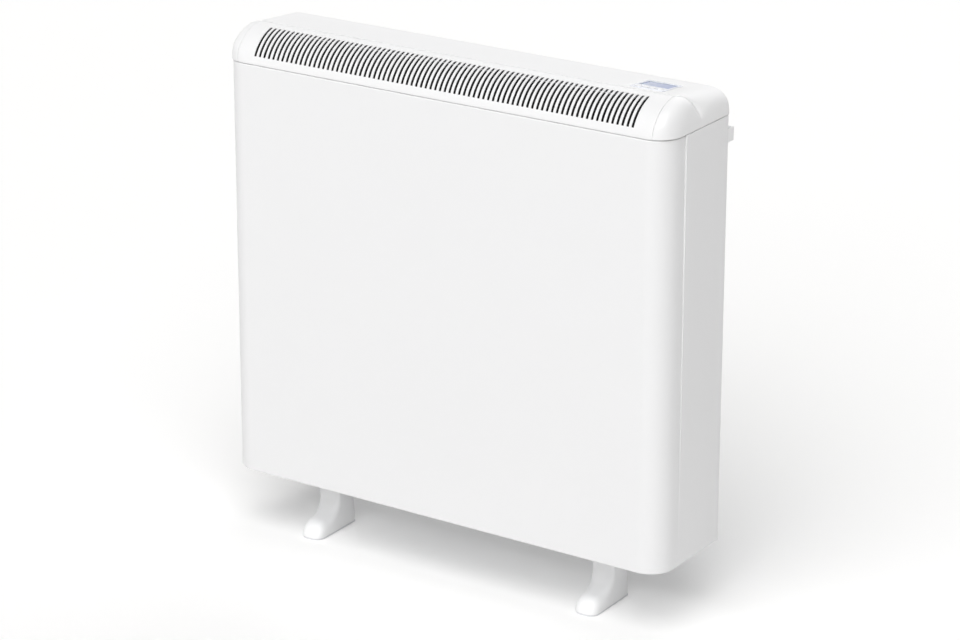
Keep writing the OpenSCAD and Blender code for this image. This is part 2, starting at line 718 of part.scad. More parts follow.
// One tier: a lower and an upper course of bricks, with the element's groove shared between them
module brick_tier(t) color([0.32, 0.24, 0.2]) in_case() {
    groove_d = element_d + 1;
    z_mid = element_z(t);
    for (c = [0 : columns - 1], upper = [0, 1]) difference() {
        translate([core_x + c * (brick_l + fit), core_y, core_z + (2 * t + upper) * course])
            cube([brick_l, brick_d, brick_h]);
        for (y = leg_y) translate([core_x + leg_gap / 2 + element_d / 2 + 8, y, z_mid]) rotate([0, 90, 0])
            cylinder(d = groove_d, h = core_w);
        if (c == 0) translate([core_x + 6, leg_y[0] - groove_d / 2, z_mid - groove_d / 2])
            cube([leg_gap / 2 + element_d / 2 + 3, leg_gap + groove_d, groove_d]);
        translate([core_x + c * (brick_l + fit) + brick_l / 2, core_y - 1, z_mid - brick_h - 1])
            cylinder(d = 12, h = 2 * brick_h + 2);
    }
}
module storage_bricks_1() brick_tier(0);
module storage_bricks_2() brick_tier(1);
module storage_bricks_3() brick_tier(2);
module storage_bricks_4() brick_tier(3);

// Sheathed hairpin in a tier's groove, with threaded pins at its two cold ends
module heating_element(t) color([0.55, 0.55, 0.57]) in_case() {
    x1 = case_right + element_out;
    hairpin(core_x + 8, x1, leg_y, element_z(t), element_d);
    for (y = leg_y) translate([x1 - 1, y, element_z(t)]) rotate([0, 90, 0])
        cylinder(d = pin_d, h = pin_l + 1, $fn = 24);
}
module heating_element_1() heating_element(0);
module heating_element_2() heating_element(1);
module heating_element_3() heating_element(2);
module heating_element_4() heating_element(3);

// Ceramic bushes that carry the cold ends through the end insulation
module element_bushes() color([0.95, 0.93, 0.88]) in_case() for (t = [0 : tiers - 1], y = leg_y)
    translate([core_x + core_w + fit, y, element_z(t)]) rotate([0, 90, 0]) difference() {
        union() {
            cylinder(d = bush_d - 0.2, h = ins_side_t + case_t + 6, $fn = 32);
            translate([0, 0, ins_side_t + case_t + fit]) cylinder(d = bush_d + 5, h = 3, $fn = 32);
        }
        translate([0, 0, -1]) cylinder(d = element_d + 0.2, h = ins_side_t + 20, $fn = 32);
    }

// Daytime top-up element under the core, held by the stands
module convector_element() color([0.5, 0.5, 0.52]) in_case() {
    x1 = case_right + element_out;
    hairpin(case_x + 8, x1, top_up_y, top_up_z, top_up_d);
    for (y = top_up_y) translate([x1 - 1, y, top_up_z]) rotate([0, 90, 0])
        cylinder(d = pin_d, h = pin_l + 1, $fn = 24);
}

// ---- Air outlet and damper

// Dark channel behind the grille: floor with the vent, rear wall and two ends that carry the rod
module outlet_duct() color([0.08, 0.08, 0.09]) in_case() {
    low = duct_z;
    difference() {
        translate([-duct_half, duct_front, low]) cube([2 * duct_half, duct_back - duct_front, duct_t]);
        translate([vent_x - vent_half, vent_y0, low - 1]) cube([2 * vent_half, vent_y1 - vent_y0, duct_t + 2]);
    }
    translate([-duct_half, duct_back - duct_t, low])
        cube([2 * duct_half, duct_t, panel_h + nose_h - 12 - low]);
    for (s = [-1, 1]) difference() {
        translate([s * (duct_half - duct_t / 2), 0, panel_h]) along_x(-duct_t / 2, duct_t / 2) union() {
            intersection() {
                nose_outline(top_wall + 0.8);
                translate([duct_front, -eps]) square([duct_back - duct_front, nose_h - 12 + eps]);
            }
            translate([duct_front, low - panel_h]) square([duct_back - duct_front, panel_h - low]);
        }
        translate([s * duct_half - 3, rod_y, rod_z]) rotate([0, 90, 0])
            cylinder(d = rod_d + rod_clear, h = 6);
    }
}

// Flap that lies over the vent, hinged along its rear edge on three knuckles
module damper_flap() color([0.35, 0.36, 0.38]) in_case() {
    difference() {
        union() {
            translate([vent_x - vent_half - 6, rod_y - flap_w, rod_z - knuckle_d / 2])
                cube([2 * vent_half + 12, flap_w, flap_t]);
            for (x = [-1, 0, 1]) translate([vent_x + x * (vent_half - knuckle_w) - knuckle_w / 2, rod_y, rod_z])
                rotate([0, 90, 0]) cylinder(d = knuckle_d, h = knuckle_w);
        }
        translate([vent_x - vent_half - 10, rod_y, rod_z]) rotate([0, 90, 0])
            cylinder(d = rod_d + rod_clear, h = 2 * vent_half + 20);
    }
}

// Rod that carries the flap, from the left end of the duct to the motor
module damper_rod() color([0.7, 0.71, 0.73]) in_case()
    translate([-duct_half - 4, rod_y, rod_z]) rotate([0, 90, 0])
        cylinder(d = rod_d, h = motor_x + 10 + duct_half + 4);

// Synchronous motor that turns the rod, on a bracket from the duct's end
module damper_motor() color([0.85, 0.83, 0.7]) in_case() difference() {
    union() {
        translate([motor_x, rod_y - 17, rod_z]) rotate([0, 90, 0]) cylinder(d = motor_w, h = 18);
        translate([motor_x, rod_y - 17, rod_z - motor_w / 2]) cube([18, 22, motor_w]);
        translate([duct_half + fit, rod_y - 26, rod_z - 6]) cube([motor_x - duct_half - fit + eps, 31, 12]);
    }
    translate([duct_half - 1, rod_y, rod_z]) rotate([0, 90, 0])
        cylinder(d = rod_d + rod_clear, h = motor_x - duct_half + 12);
}

// ---- Electrical parts in the right-hand compartment

// Upright plate on the base that carries them
module component_plate() color([0.78, 0.79, 0.8]) in_case() {
    translate([plate_x, plate_y0, tray_top]) cube([plate_t, plate_y1 - plate_y0, plate_z1 - tray_top]);
    translate([plate_x, plate_y0, tray_top]) cube([plate_foot, plate_y1 - plate_y0, plate_t]);
}

// Relay board with its three relays and heat sink
module power_board() color([0.12, 0.38, 0.22]) in_case()
    translate([plate_x + plate_t + fit, plate_y0 + 8, power_z]) {
        front = 4 + board_t;
        sink_h = power_h - 50;
        translate([4, 0, 0]) cube([board_t, power_d, power_h]);
        for (y = [4, power_d - 4], z = [6, power_h - 6]) translate([0, y, z]) rotate([0, 90, 0])
            cylinder(d = 5, h = 4 + eps);
        for (i = [0 : 2]) translate([front - eps, 10, 16 + i * relay_pitch]) cube([16, 28, 20]);
        translate([front - eps, power_d - 30, 20]) cube([3, 22, sink_h]);
        for (i = [0 : 4]) translate([front + 3 - 2 * eps, power_d - 29 + i * 4.6, 20]) cube([12, 1.6, sink_h]);
    }

// Screw terminals for the supply, in a row of five
module terminal_block() color([0.9, 0.9, 0.86]) in_case()
    translate([plate_x + plate_t + fit, plate_y0 + 16, 90]) difference() {
        cube([18, 60, 22]);
        for (i = [0 : 4]) translate([18 - 8, 6 + i * 12, 11]) rotate([0, 90, 0]) cylinder(d = 6, h = 10);
        for (i = [0 : 4]) translate([9, 6 + i * 12, -1]) cylinder(d = 4.5, h = 12);
    }

// Disc cut-out with its two tabs, on the inner case's right wall
module thermal_cutout() color([0.2, 0.2, 0.22]) in_case() translate([case_right, case_y + 30, core_top - 30]) {
    rotate([0, 90, 0]) cylinder(d = 24, h = 4);
    rotate([0, 90, 0]) cylinder(d = 15, h = 14);
    for (s = [-1, 1]) translate([14 - eps, s * 4 - 0.4, -3]) cube([8, 0.8, 6]);
}

// Probe that reaches through the end insulation to the bricks
module core_sensor() color([0.65, 0.66, 0.68]) in_case()
    translate([core_x + core_w + 1, core_y + brick_d / 2, sensor_z()]) rotate([0, 90, 0]) {
        cylinder(d = 6, h = ins_side_t + 22);
        translate([0, 0, ins_side_t + case_t + 1]) cylinder(d = 12, h = 3);
    }
function sensor_z() = core_z + 2 * tiers * course - brick_h;
module sensor_hole(d) translate([core_x + core_w, core_y + brick_d / 2, sensor_z()]) rotate([0, 90, 0])
    cylinder(d = d, h = ins_side_t + 10);

// Thermistor in a small clip on the base plate, in the cool air
module room_sensor() color([0.15, 0.15, 0.16]) in_case() translate([body_w / 2 - 40, 70, tray_top]) {
    cube([14, 8, 2]);
    translate([3, 4, 0]) cylinder(d = 4, h = 12);
    translate([3, 4, 12]) sphere(d = 4);
}

// Compression gland in the rear panel for the supply cable
module cable_gland() color([0.2, 0.2, 0.21]) in_case() translate([gland_x, body_d, gland_z]) rotate([-90, 0, 0])
    difference() {
        union() {
            translate([0, 0, -sheet_t - 8]) cylinder(d = gland_d - 4.4, h = sheet_t + 8 + eps);
            translate([0, 0, -sheet_t - 6.3]) cylinder(d = gland_d + 2, h = 6, $fn = 6);
            cylinder(d = gland_d + 3, h = 4, $fn = 6);
            translate([0, 0, 4 - eps]) cylinder(d1 = gland_d - 1, d2 = gland_d - 5, h = 8);
        }
        translate([0, 0, -sheet_t - 9]) cylinder(d = gland_bore_d, h = sheet_t + 9 + 20);
    }

// Earth stud with its nut on the base plate
module earth_stud() color([0.8, 0.68, 0.35]) in_case() translate([gland_x, earth_y, tray_z - 1.6]) {
    cylinder(d = 9, h = 1.6, $fn = 6);
    cylinder(d = screw_d, h = 16);
    translate([0, 0, 1.6 + sheet_t]) cylinder(d = 8, h = 3.2, $fn = 6);
}

front_panel();
side_panel_left();
side_panel_right();
rear_panel();
base_plate();
top_cover();
air_outlet_grille();
end_cap_left();
end_cap_right();
display_bezel();
display_window();
display_module();
control_board();
control_tray();
button_1();
button_2();
button_3();
button_4();
foot_left();
foot_right();
foot_pad_left();
foot_pad_right();
foot_screws();
wall_bracket_left();
wall_bracket_right();
bracket_screws();
panel_screws();
cover_screws();
inner_case();
inner_case_lid();
core_stands();
insulation_front();
insulation_rear();
insulation_left();
insulation_right();
insulation_base();
insulation_top();
storage_bricks_1();
storage_bricks_2();
storage_bricks_3();
storage_bricks_4();
heating_element_1();
heating_element_2();
heating_element_3();
heating_element_4();
element_bushes();
convector_element();
outlet_duct();
damper_flap();
damper_rod();
damper_motor();
component_plate();
power_board();
terminal_block();
thermal_cutout();
core_sensor();
room_sensor();
cable_gland();
earth_stud();
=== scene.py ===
# %% [markdown]
# # A white storage heater, dressed round its engineering model
# The heater is a tall steel case on two swept feet. Its top is a rounded nose with a row of slots,
# two domed ends, and a sloping rear cover that carries a small control panel. The exact solids come
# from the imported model. Here the pieces that show get soft edges, finer curves and real finishes.

import math
from contextlib import contextmanager

import bmesh
import bpy
import numpy as np
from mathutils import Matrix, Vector


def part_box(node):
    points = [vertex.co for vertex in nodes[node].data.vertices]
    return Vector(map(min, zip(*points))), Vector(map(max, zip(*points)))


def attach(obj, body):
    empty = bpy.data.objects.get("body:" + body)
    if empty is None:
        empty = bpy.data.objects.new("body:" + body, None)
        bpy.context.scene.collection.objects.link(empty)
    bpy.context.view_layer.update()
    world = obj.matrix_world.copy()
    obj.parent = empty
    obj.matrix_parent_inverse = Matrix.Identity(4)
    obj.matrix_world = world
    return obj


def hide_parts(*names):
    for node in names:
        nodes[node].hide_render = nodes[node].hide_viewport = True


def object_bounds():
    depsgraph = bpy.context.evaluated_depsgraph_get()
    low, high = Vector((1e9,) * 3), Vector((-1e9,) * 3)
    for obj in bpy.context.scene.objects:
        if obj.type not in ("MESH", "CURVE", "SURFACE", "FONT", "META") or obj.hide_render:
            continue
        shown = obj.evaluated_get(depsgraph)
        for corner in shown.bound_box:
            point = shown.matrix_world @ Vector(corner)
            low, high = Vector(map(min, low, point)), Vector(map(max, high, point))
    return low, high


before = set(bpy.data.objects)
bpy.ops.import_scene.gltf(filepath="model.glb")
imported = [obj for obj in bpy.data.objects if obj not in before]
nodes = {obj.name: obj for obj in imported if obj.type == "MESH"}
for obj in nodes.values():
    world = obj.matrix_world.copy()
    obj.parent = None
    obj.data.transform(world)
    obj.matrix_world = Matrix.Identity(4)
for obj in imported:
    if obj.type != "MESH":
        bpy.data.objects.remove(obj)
cad_low, cad_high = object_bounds()
print("model box", [round(v, 4) for v in (*cad_low, *cad_high)])

# %% [markdown]
# All sizes below are millimetres in the case's own frame: x from the middle, y back from the front
# panel's face, z up from the panels' bottom edge. That frame is measured from the model itself, so
# a new pack moves every piece with it.

# %% The case's frame
MM = 0.001
BODY = "heater"
case_low, case_high = (np.array(corner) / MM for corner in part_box("front_panel"))
half_w = case_high[0]
front_y, foot_h = case_low[1], case_low[2]
panel_h = case_high[2] - foot_h
body_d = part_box("rear_panel")[1].y / MM - front_y
wrap = case_high[1] - front_y
sheet_t = 1.2
corner_r = 36.0
corner_x = half_w - corner_r
print("case", half_w * 2, body_d, panel_h, "wrap", wrap, "feet", foot_h)


def placed(points):
    """Case frame in millimetres to the model's frame in metres."""
    return (np.array(points, float).reshape(-1, 3) + (0, front_y, foot_h)) * MM


def ease(value, low, high):
    """0 up to low, 1 from high on, and a soft step between."""
    t = min(1.0, max(0.0, (value - low) / (high - low)))
    return t * t * (3 - 2 * t)


# %% [markdown]
# ## Shader sums
# A finish is a small node tree. Writing its maths as ordinary Python sums keeps it short: the class
# below wraps a socket, and each operator adds one Math node. Every other node comes from `node()`.


# %% A socket that can be used in sums
class Value:
    def __init__(self, owner, socket):
        self.owner = owner
        self.socket = socket

    def math(self, operation, *others):
        made = self.owner.node("ShaderNodeMath", {"operation": operation}, (self, *others))
        return Value(self.owner, made.outputs[0])

    def __add__(self, other):
        return self.math("ADD", other)

    def __sub__(self, other):
        return self.math("SUBTRACT", other)

    def __mul__(self, other):
        return self.math("MULTIPLY", other)

    def __rsub__(self, other):
        return (self * -1) + other

    __radd__, __rmul__ = __add__, __mul__

    def above(self, edge, soft):
        """0 below the edge, 1 over it, with a soft step between."""
        sockets = {"Value": self, "From Min": edge - soft, "From Max": edge + soft}
        made = self.owner.node("ShaderNodeMapRange", {"interpolation_type": "SMOOTHSTEP"}, sockets)
        return Value(self.owner, made.outputs[0])


class NodeTree:
    """An empty tree, and the one way in which nodes are added to it."""

    def __init__(self, owner):
        owner.use_nodes = True
        self.tree = owner.node_tree
        self.tree.nodes.clear()

    def node(self, kind, settings, inputs):
        """A node of one type: its settings first, then the values or links of its sockets."""
        made = self.tree.nodes.new(kind)
        for key, value in settings.items():
            setattr(made, key, value)
        pairs = inputs.items() if isinstance(inputs, dict) else enumerate(inputs)
        for key, value in pairs:
            self.fill(made.inputs[key], value)
        return made

    def fill(self, socket, value):
        value = value.socket if isinstance(value, Value) else value
        if isinstance(value, bpy.types.NodeSocket):
            self.tree.links.new(value, socket)
        elif isinstance(value, tuple) and len(value) == 3 and socket.type == "RGBA":
            socket.default_value = (*value, 1)
        else:
            socket.default_value = value


class Finish(NodeTree):
    """A material, built from a Principled shader and what changes over the surface."""

    def __init__(self, name, **fixed):
        self.material = bpy.data.materials.new(name)
        super().__init__(self.material)
        self.shader = self.node("ShaderNodeBsdfPrincipled", {}, fixed)
        self.node("ShaderNodeOutputMaterial", {}, {"Surface": self.shader.outputs[0]})
        self.place = self.node("ShaderNodeTexCoord", {}, {}).outputs["Object"]

    def set(self, **inputs):
        for key, value in inputs.items():
            self.fill(self.shader.inputs[key.replace("_", " ")], value)
        return self

    def noise(self, scale, detail=2.0, rough=0.5, stretch=(1, 1, 1)):
        """Clouds of a size given by features per metre, from 0 to 1."""
        moved = self.node("ShaderNodeMapping", {}, {"Vector": self.place, "Scale": stretch})
        sockets = {"Vector": moved.outputs[0], "Scale": scale, "Detail": detail, "Roughness": rough}
        return Value(self, self.node("ShaderNodeTexNoise", {}, sockets).outputs[0])

    def cells(self, scale):
        """Irregular flakes, each with a value of its own from 0 to 1."""
        made = self.node("ShaderNodeTexVoronoi", {}, {"Vector": self.place, "Scale": scale})
        parts = self.node("ShaderNodeSeparateColor", {}, {"Color": made.outputs["Color"]})
        return Value(self, parts.outputs[0])

    def along(self, axis):
        """The place along one axis, in metres."""
        parts = self.node("ShaderNodeSeparateXYZ", {}, {"Vector": self.place})
        return Value(self, parts.outputs["XYZ".index(axis)])

    def mix(self, amount, low, high):
        """A colour between two: low where the amount is 0, high where it is 1."""
        made = self.node("ShaderNodeMix", {"data_type": "RGBA"}, {})
        self.fill(made.inputs["Factor"], amount)
        for socket, colour in zip([s for s in made.inputs if s.type == "RGBA"], (low, high)):
            self.fill(socket, colour)
        return next(s for s in made.outputs if s.type == "RGBA")

    def relief(self, height, depth, strength=1.0):
        """Bump of a real depth, in metres."""
        sockets = {"Height": height, "Distance": depth, "Strength": strength}
        self.set(Normal=self.node("ShaderNodeBump", {}, sockets).outputs[0])
        return self


# %% [markdown]
# ## Painted and moulded whites
# The case is powder-coated steel: bright, satin, with a faint orange peel of a millimetre or so that
# breaks up long reflections. The nose, domes, cover and feet are moulded, a touch brighter and
# smoother, with a much finer grain. Both are almost flat in colour, so the life is in the relief and
# in small changes of gloss.


# %% White finishes
def shade_of(colour, amount):
    return tuple(c * amount for c in colour)


def about(middle, spread, pattern):
    """A value that wanders round its middle as the pattern goes from 0 to 1."""
    return pattern * spread + (middle - spread / 2)


def powder_coat(name, colour, rough=0.42):
    coat = Finish(name, **{"Specular IOR Level": 0.45})
    clouds = coat.noise(scale=5.0, detail=3.0)
    peel = coat.noise(scale=620.0) * 0.75 + coat.noise(scale=1900.0, detail=1.0) * 0.25
    coat.set(Base_Color=coat.mix(clouds, shade_of(colour, 0.985), colour))
    coat.set(Roughness=about(rough, 0.08, clouds))
    return coat.relief(peel, depth=0.00007).material


def moulded(name, colour, rough=0.36, depth=0.00002):
    plastic = Finish(name, **{"Specular IOR Level": 0.5, "IOR": 1.49})
    flow = plastic.noise(scale=9.0, stretch=(0.25, 1, 1))
    grain = plastic.noise(scale=2600.0, detail=1.5)
    plastic.set(Base_Color=plastic.mix(flow, shade_of(colour, 0.988), colour))
    plastic.set(Roughness=about(rough, 0.07, flow))
    return plastic.relief(grain, depth).material


case_white = powder_coat("case white", (0.856, 0.856, 0.860))
bracket_white = powder_coat("bracket white", (0.94, 0.94, 0.943), rough=0.5)
top_white = moulded("nose white", (0.885, 0.885, 0.888))
cover_white = moulded("cover white", (0.895, 0.895, 0.898), rough=0.50)
foot_white = moulded("foot white", (0.940, 0.940, 0.943), rough=0.42)
key_white = moulded("key white", (0.86, 0.86, 0.88), rough=0.30)
bezel_white = moulded("panel white", (0.87, 0.89, 0.955), rough=0.22, depth=0.000008)
print("whites made")

# %% [markdown]
# ## Metals, rubber and dark parts
# The back, the base and everything inside are plain zinc-coated sheet, whose crystals show as
# irregular flakes of different greys. Screws are brushed by their tooling. The duct behind the slots
# is near black, partly its black coat and partly painted shade, so the slots read as dark lines.


# %% Metals and dark finishes
def zinc_sheet(name, flake=75.0):
    zinc = Finish(name, **{"Metallic": 0.85})
    spangle = zinc.cells(flake) * 0.5 + zinc.cells(flake * 2.3) * 0.25
    spangle = spangle + zinc.noise(scale=220.0, detail=3.0) * 0.25
    zinc.set(Base_Color=zinc.mix(spangle, (0.50, 0.515, 0.53), (0.66, 0.67, 0.685)))
    zinc.set(Roughness=about(0.46, 0.16, spangle))
    return zinc.relief(spangle, depth=0.00001).material


def bright_metal(name, colour, rough=0.3):
    metal = Finish(name, **{"Metallic": 1.0})
    tooling = metal.noise(scale=260.0, detail=3.0, stretch=(1, 1, 9))
    metal.set(Base_Color=metal.mix(tooling, shade_of(colour, 0.82), colour))
    metal.set(Roughness=about(rough, 0.2, tooling))
    return metal.relief(tooling, depth=0.00002).material


def dull(name, dark, light, rough, scale, depth=0.00006):
    """Rubber, brick, board, cloth and other dull stuff: a speckle between two shades."""
    stuff = Finish(name)
    speckle = stuff.noise(scale, detail=4.0, rough=0.6)
    stuff.set(Base_Color=stuff.mix(speckle, dark, light))
    stuff.set(Roughness=about(rough, 0.16, speckle))
    return stuff.relief(speckle, depth).material


zinc = zinc_sheet("zinc-coated sheet")
screw_zinc = bright_metal("bright zinc", (0.72, 0.73, 0.75))
steel_sheath = bright_metal("heated steel", (0.42, 0.40, 0.38), rough=0.5)
brass = bright_metal("brass", (0.80, 0.62, 0.28))
pad_rubber = dull("pad rubber", (0.72, 0.72, 0.74), (0.80, 0.80, 0.82), 0.8, 900.0)
# near black, darker than paint: partly the duct's coat, partly painted shade inside the slots
slot_shade_black_sheet = dull("black coat with painted slot shade", (0.012, 0.012, 0.013), (0.022, 0.022, 0.024), 0.75, 700.0)
black_plastic = dull("black moulding", (0.03, 0.03, 0.032), (0.045, 0.045, 0.048), 0.5, 1500.0)
brick = dull("iron-rich brick", (0.055, 0.035, 0.028), (0.13, 0.085, 0.065), 0.9, 420.0, 0.0004)
cloth = dull("glass cloth", (0.74, 0.72, 0.66), (0.88, 0.86, 0.80), 0.9, 1200.0, 0.0002)
ceramic = dull("fired ceramic", (0.80, 0.76, 0.68), (0.88, 0.85, 0.78), 0.6, 500.0)
board = dull("lacquered board", (0.010, 0.10, 0.045), (0.016, 0.14, 0.065), 0.3, 90.0)
beige = dull("beige moulding", (0.66, 0.62, 0.46), (0.72, 0.68, 0.52), 0.45, 1200.0)
tray_grey = dull("grey moulding", (0.55, 0.56, 0.58), (0.62, 0.63, 0.65), 0.5, 1200.0)
print("metals and dark finishes made")

# %% Give the carried-over solids their finishes
FINISH_OF = {
    "wall_bracket": bracket_white,
    "foot_pad": pad_rubber,
    "rear_panel": zinc,
    "base_plate": zinc,
    "inner_case": zinc,
    "core_stands": zinc,
    "component_plate": zinc,
    "insulation": cloth,
    "storage_bricks": brick,
    "heating_element": steel_sheath,
    "convector_element": steel_sheath,
    "element_bushes": ceramic,
    "outlet_duct": slot_shade_black_sheet,
    "damper_flap": slot_shade_black_sheet,
    "damper_rod": slot_shade_black_sheet,
    "damper_motor": beige,
    "terminal_block": beige,
    "display_module": tray_grey,
    "control_tray": tray_grey,
    "control_board": board,
    "power_board": board,
    "thermal_cutout": black_plastic,
    "room_sensor": black_plastic,
    "cable_gland": black_plastic,
    "core_sensor": screw_zinc,
    "earth_stud": brass,
    "screws": screw_zinc,
    "front_panel": case_white,
    "side_panel": case_white,
    "top_cover": cover_white,
    "air_outlet": top_white,
    "end_cap": top_white,
    "foot_": foot_white,
    "button": key_white,
    "display": bezel_white,
}
for name, solid in nodes.items():
    finish = next(made for word, made in FINISH_OF.items() if word in name)
    solid.data.materials.clear()
    solid.data.materials.append(finish)
print(len(nodes), "solids finished")

# %% [markdown]
# ## Helpers for making a mesh
# Every piece here is a set of points in the case's frame and the faces between them. `make_piece`
# welds them, turns the faces outwards, marks real edges sharp, hangs the piece on the body it rides
# on and hides the plain solid it stands for. `walled` gives an open surface its wall thickness and
# its rounded rims with modifiers, which are applied at once, and trims what bulges past the model's
# box.


# %% Mesh helpers
WELD = 0.00001


def link(name, data):
    made = bpy.data.objects.new(name, data)
    bpy.context.scene.collection.objects.link(made)
    return made


@contextmanager
def editing(mesh):
    """Opens a mesh for bmesh work and writes it back when the work is done."""
    shape = bmesh.new()
    shape.from_mesh(mesh)
    yield shape
    shape.to_mesh(mesh)
    shape.free()


def grid_faces(rows, columns, around=False):
    """Quads of a grid of points, row by row; around closes each row on itself."""
    last = columns if around else columns - 1
    for r in range(rows - 1):
        for c in range(last):
            n = (c + 1) % columns
            yield (r * columns + c, r * columns + n, (r + 1) * columns + n, (r + 1) * columns + c)


def welded(name, points, faces, outwards=True):
    """A mesh in metres, its doubles merged. A shell that is still open keeps its faces' turn."""
    mesh = bpy.data.meshes.new(name)
    mesh.from_pydata(placed(points).tolist(), [], list(faces))
    with editing(mesh) as shape:
        bmesh.ops.remove_doubles(shape, verts=shape.verts, dist=WELD)
        bmesh.ops.dissolve_degenerate(shape, edges=shape.edges, dist=WELD / 10)
        if outwards:
            bmesh.ops.recalc_face_normals(shape, faces=shape.faces)
    return mesh


def evaluated(made):
    """The plain mesh that an object's modifiers, or a curve's own settings, come to."""
    graph = bpy.context.evaluated_depsgraph_get()
    graph.update()
    return bpy.data.meshes.new_from_object(made.evaluated_get(graph))


def apply_modifiers(made):
    plain = evaluated(made)
    made.modifiers.clear()
    made.data = plain


def settle(made, finish, stands_for, slot, rides=BODY, sharp=32):
    """The last step of every piece: its finish, its sharp edges and its place in the frame."""
    made.data.materials.clear()
    made.data.materials.append(finish)
    made.data.shade_smooth()
    made.data.set_sharp_from_angle(angle=math.radians(sharp))
    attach(made, rides)
    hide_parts(*stands_for)
    print(made.name, len(made.data.polygons), "faces")


def make_piece(name, points, faces, finish, **facts):
    settle(link(name, welded(name, points, faces)), finish, **facts)


def walled(made, wall, rim):
    """Gives an open surface a wall, inwards, and rounds its rims."""
    solid = made.modifiers.new("wall", "SOLIDIFY")
    solid.thickness = wall * MM
    solid.offset = -1
    solid.use_even_offset = True
    edge = made.modifiers.new("rim", "BEVEL")
    edge.width = rim * MM
    edge.segments = 2
    edge.limit_method = "ANGLE"
    edge.angle_limit = math.radians(50)
    edge.use_clamp_overlap = False
    apply_modifiers(made)
    spots = np.array([v.co for v in made.data.vertices])
    made.data.vertices.foreach_set("co", np.clip(spots, cad_low, cad_high).ravel())


print("points closer than", round(WELD / MM, 4), "mm are welded")


# %% [markdown]
# ## The folded sheets
# A folded sheet is one cross-section, its edges curled over a small radius, carried round a path in
# plan. The front panel's path runs along a side, round the corner, across the front and back along
# the other side. The side panels are short straight runs. Where two curled edges meet they leave a
# V, and the curl that faces the room catches the light as a bright upright line. The wrap is tucked
# in a little towards its ends, except low down, where the base tray's flange fills it.


# %% Sheets carried round a path
def arc(centre, radius, start, end, steps):
    """Points and outward normals along an arc, in degrees."""
    for turn in np.radians(np.linspace(start, end, steps + 1)):
        normal = np.array([math.cos(turn), math.sin(turn)])
        yield (*(np.array(centre) + radius * normal), *normal)


def sheet_section(curl, steps=6):
    """Closed outline of (inset, height): a panel whose long edges curl inwards."""
    low, high = (curl, curl), (curl, panel_h - curl)
    outside = [*arc(low, curl, 270, 180, steps), *arc(high, curl, 180, 90, steps)]
    inside = [*arc(high, curl - sheet_t, 90, 180, steps), *arc(low, curl - sheet_t, 180, 270, steps)]
    return [(inset, height) for inset, height, _, _ in outside + inside]


def carried(path, section):
    """The section at every place of the path, closed at both ends."""
    points = [(x - inset * nx, y - inset * ny, z) for x, y, nx, ny in path for inset, z in section]
    rows, columns = len(path), len(section)
    faces = list(grid_faces(rows, columns, around=True))
    half = columns // 2
    for base in (0, (rows - 1) * columns):
        for i in range(half - 1):
            faces.append((base + i, base + i + 1, base + columns - 2 - i, base + columns - 1 - i))
    return points, faces


def mirrored(path):
    """The same path on the other side of the case, run the other way."""
    return [(-x, y, -nx, ny) for x, y, nx, ny in reversed(path)]


front_curl = 2.6
corner = arc((corner_x, corner_r), corner_r, -90, 0, 24)
right_half = [(0, 0, 0, -1), *corner, (half_w, wrap, 1, 0)]
front_path = mirrored(right_half)[:-1] + right_half

tuck = 2.4
tuck_margin = 3.0
flange_top = 22.0
full_tuck_z = 50.0


def drawn_in(points, faces):
    """Sets the wrap's ends back from the sides, but not over the base tray's flange."""
    moved = []
    for x, y, z in points:
        back = tuck * ease(abs(x), corner_x, half_w - tuck_margin) * ease(z, flange_top, full_tuck_z)
        moved.append((x - math.copysign(back, x), y, z))
    return moved, faces


make_piece(
    "front_skin",
    *drawn_in(*carried(front_path, sheet_section(front_curl))),
    case_white,
    stands_for=["front_panel"],
    slot="case_white",
)

# %% The two side sheets
side_return = 7.0
side_bend = 0.5
side_curl = 1.5
side_start = wrap + 0.2
side_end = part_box("side_panel_right")[1].y / MM - front_y
side_path = [
    (half_w - side_return, side_start, 0, -1),
    *arc((half_w - side_bend, side_start + side_bend), side_bend, -90, 0, 8),
    *arc((half_w - side_curl, side_end - side_curl), side_curl, 0, 90, 5),
]
for side, path in (("right", side_path), ("left", mirrored(side_path))):
    make_piece(
        "side_skin_" + side,
        *carried(path, sheet_section(side_curl)),
        case_white,
        stands_for=["side_panel_" + side],
        slot="case_white",
    )

# %% [markdown]
# ## The nose
# From the side the nose is two arcs that meet with one tangent: a tighter one at the front and a
# flatter one over the top. Its slots follow that curve. One cell of the grille is a strip of the
# curve one pitch wide with a slot left open. A Geometry Nodes tree sets the cell out along a line,
# realizes the copies and welds them, and two plain end strips close the row. The wall thickness and
# the rounded rims of all the slots come after, from modifiers.

# %% The nose's curve, with heights counted from the seam
def on_top(points, faces):
    """Lifts a shape drawn from the seam up to where the panels end."""
    return np.array(points, float).reshape(-1, 3) + (0, 0, panel_h), faces


def inner(x, y, z):
    """A point inside the top, in the model's frame."""
    return Vector(placed([(x, y, z + panel_h)])[0])


nose_h = 45.0
nose_d = 58.0
nose_front_r = 44.0
nose_drop = 6.0
rise = nose_h + nose_drop
run = nose_d - nose_front_r
nose_top_r = (run**2 + rise**2 - nose_front_r**2) / (2 * (rise - nose_front_r))
low_centre = np.array([nose_front_r, -nose_drop])
top_centre = np.array([nose_d, nose_h - nose_top_r])
between = low_centre - top_centre
meet = math.degrees(math.asin(between[1] / np.linalg.norm(between)))
lip = 0.6
lip_w = 4.5


def nose_point(turn):
    """A point (y, z) of the curve; the turn is 0 level with the lower centre, 90 at the top."""
    centre, radius = (low_centre, nose_front_r) if turn < meet else (top_centre, nose_top_r)
    a = math.radians(turn)
    y, z = centre[0] - radius * math.cos(a), centre[1] + radius * math.sin(a)
    return y, z - lip * ease(y, nose_d - lip_w, nose_d)


print("nose radii", nose_front_r, round(nose_top_r, 2), "meeting at", round(meet, 2))


# %% Where the curve's points lie, and which of them bound a slot
def turn_at_height(z):
    """For heights on the front arc."""
    return math.degrees(math.asin((z + nose_drop) / nose_front_r))


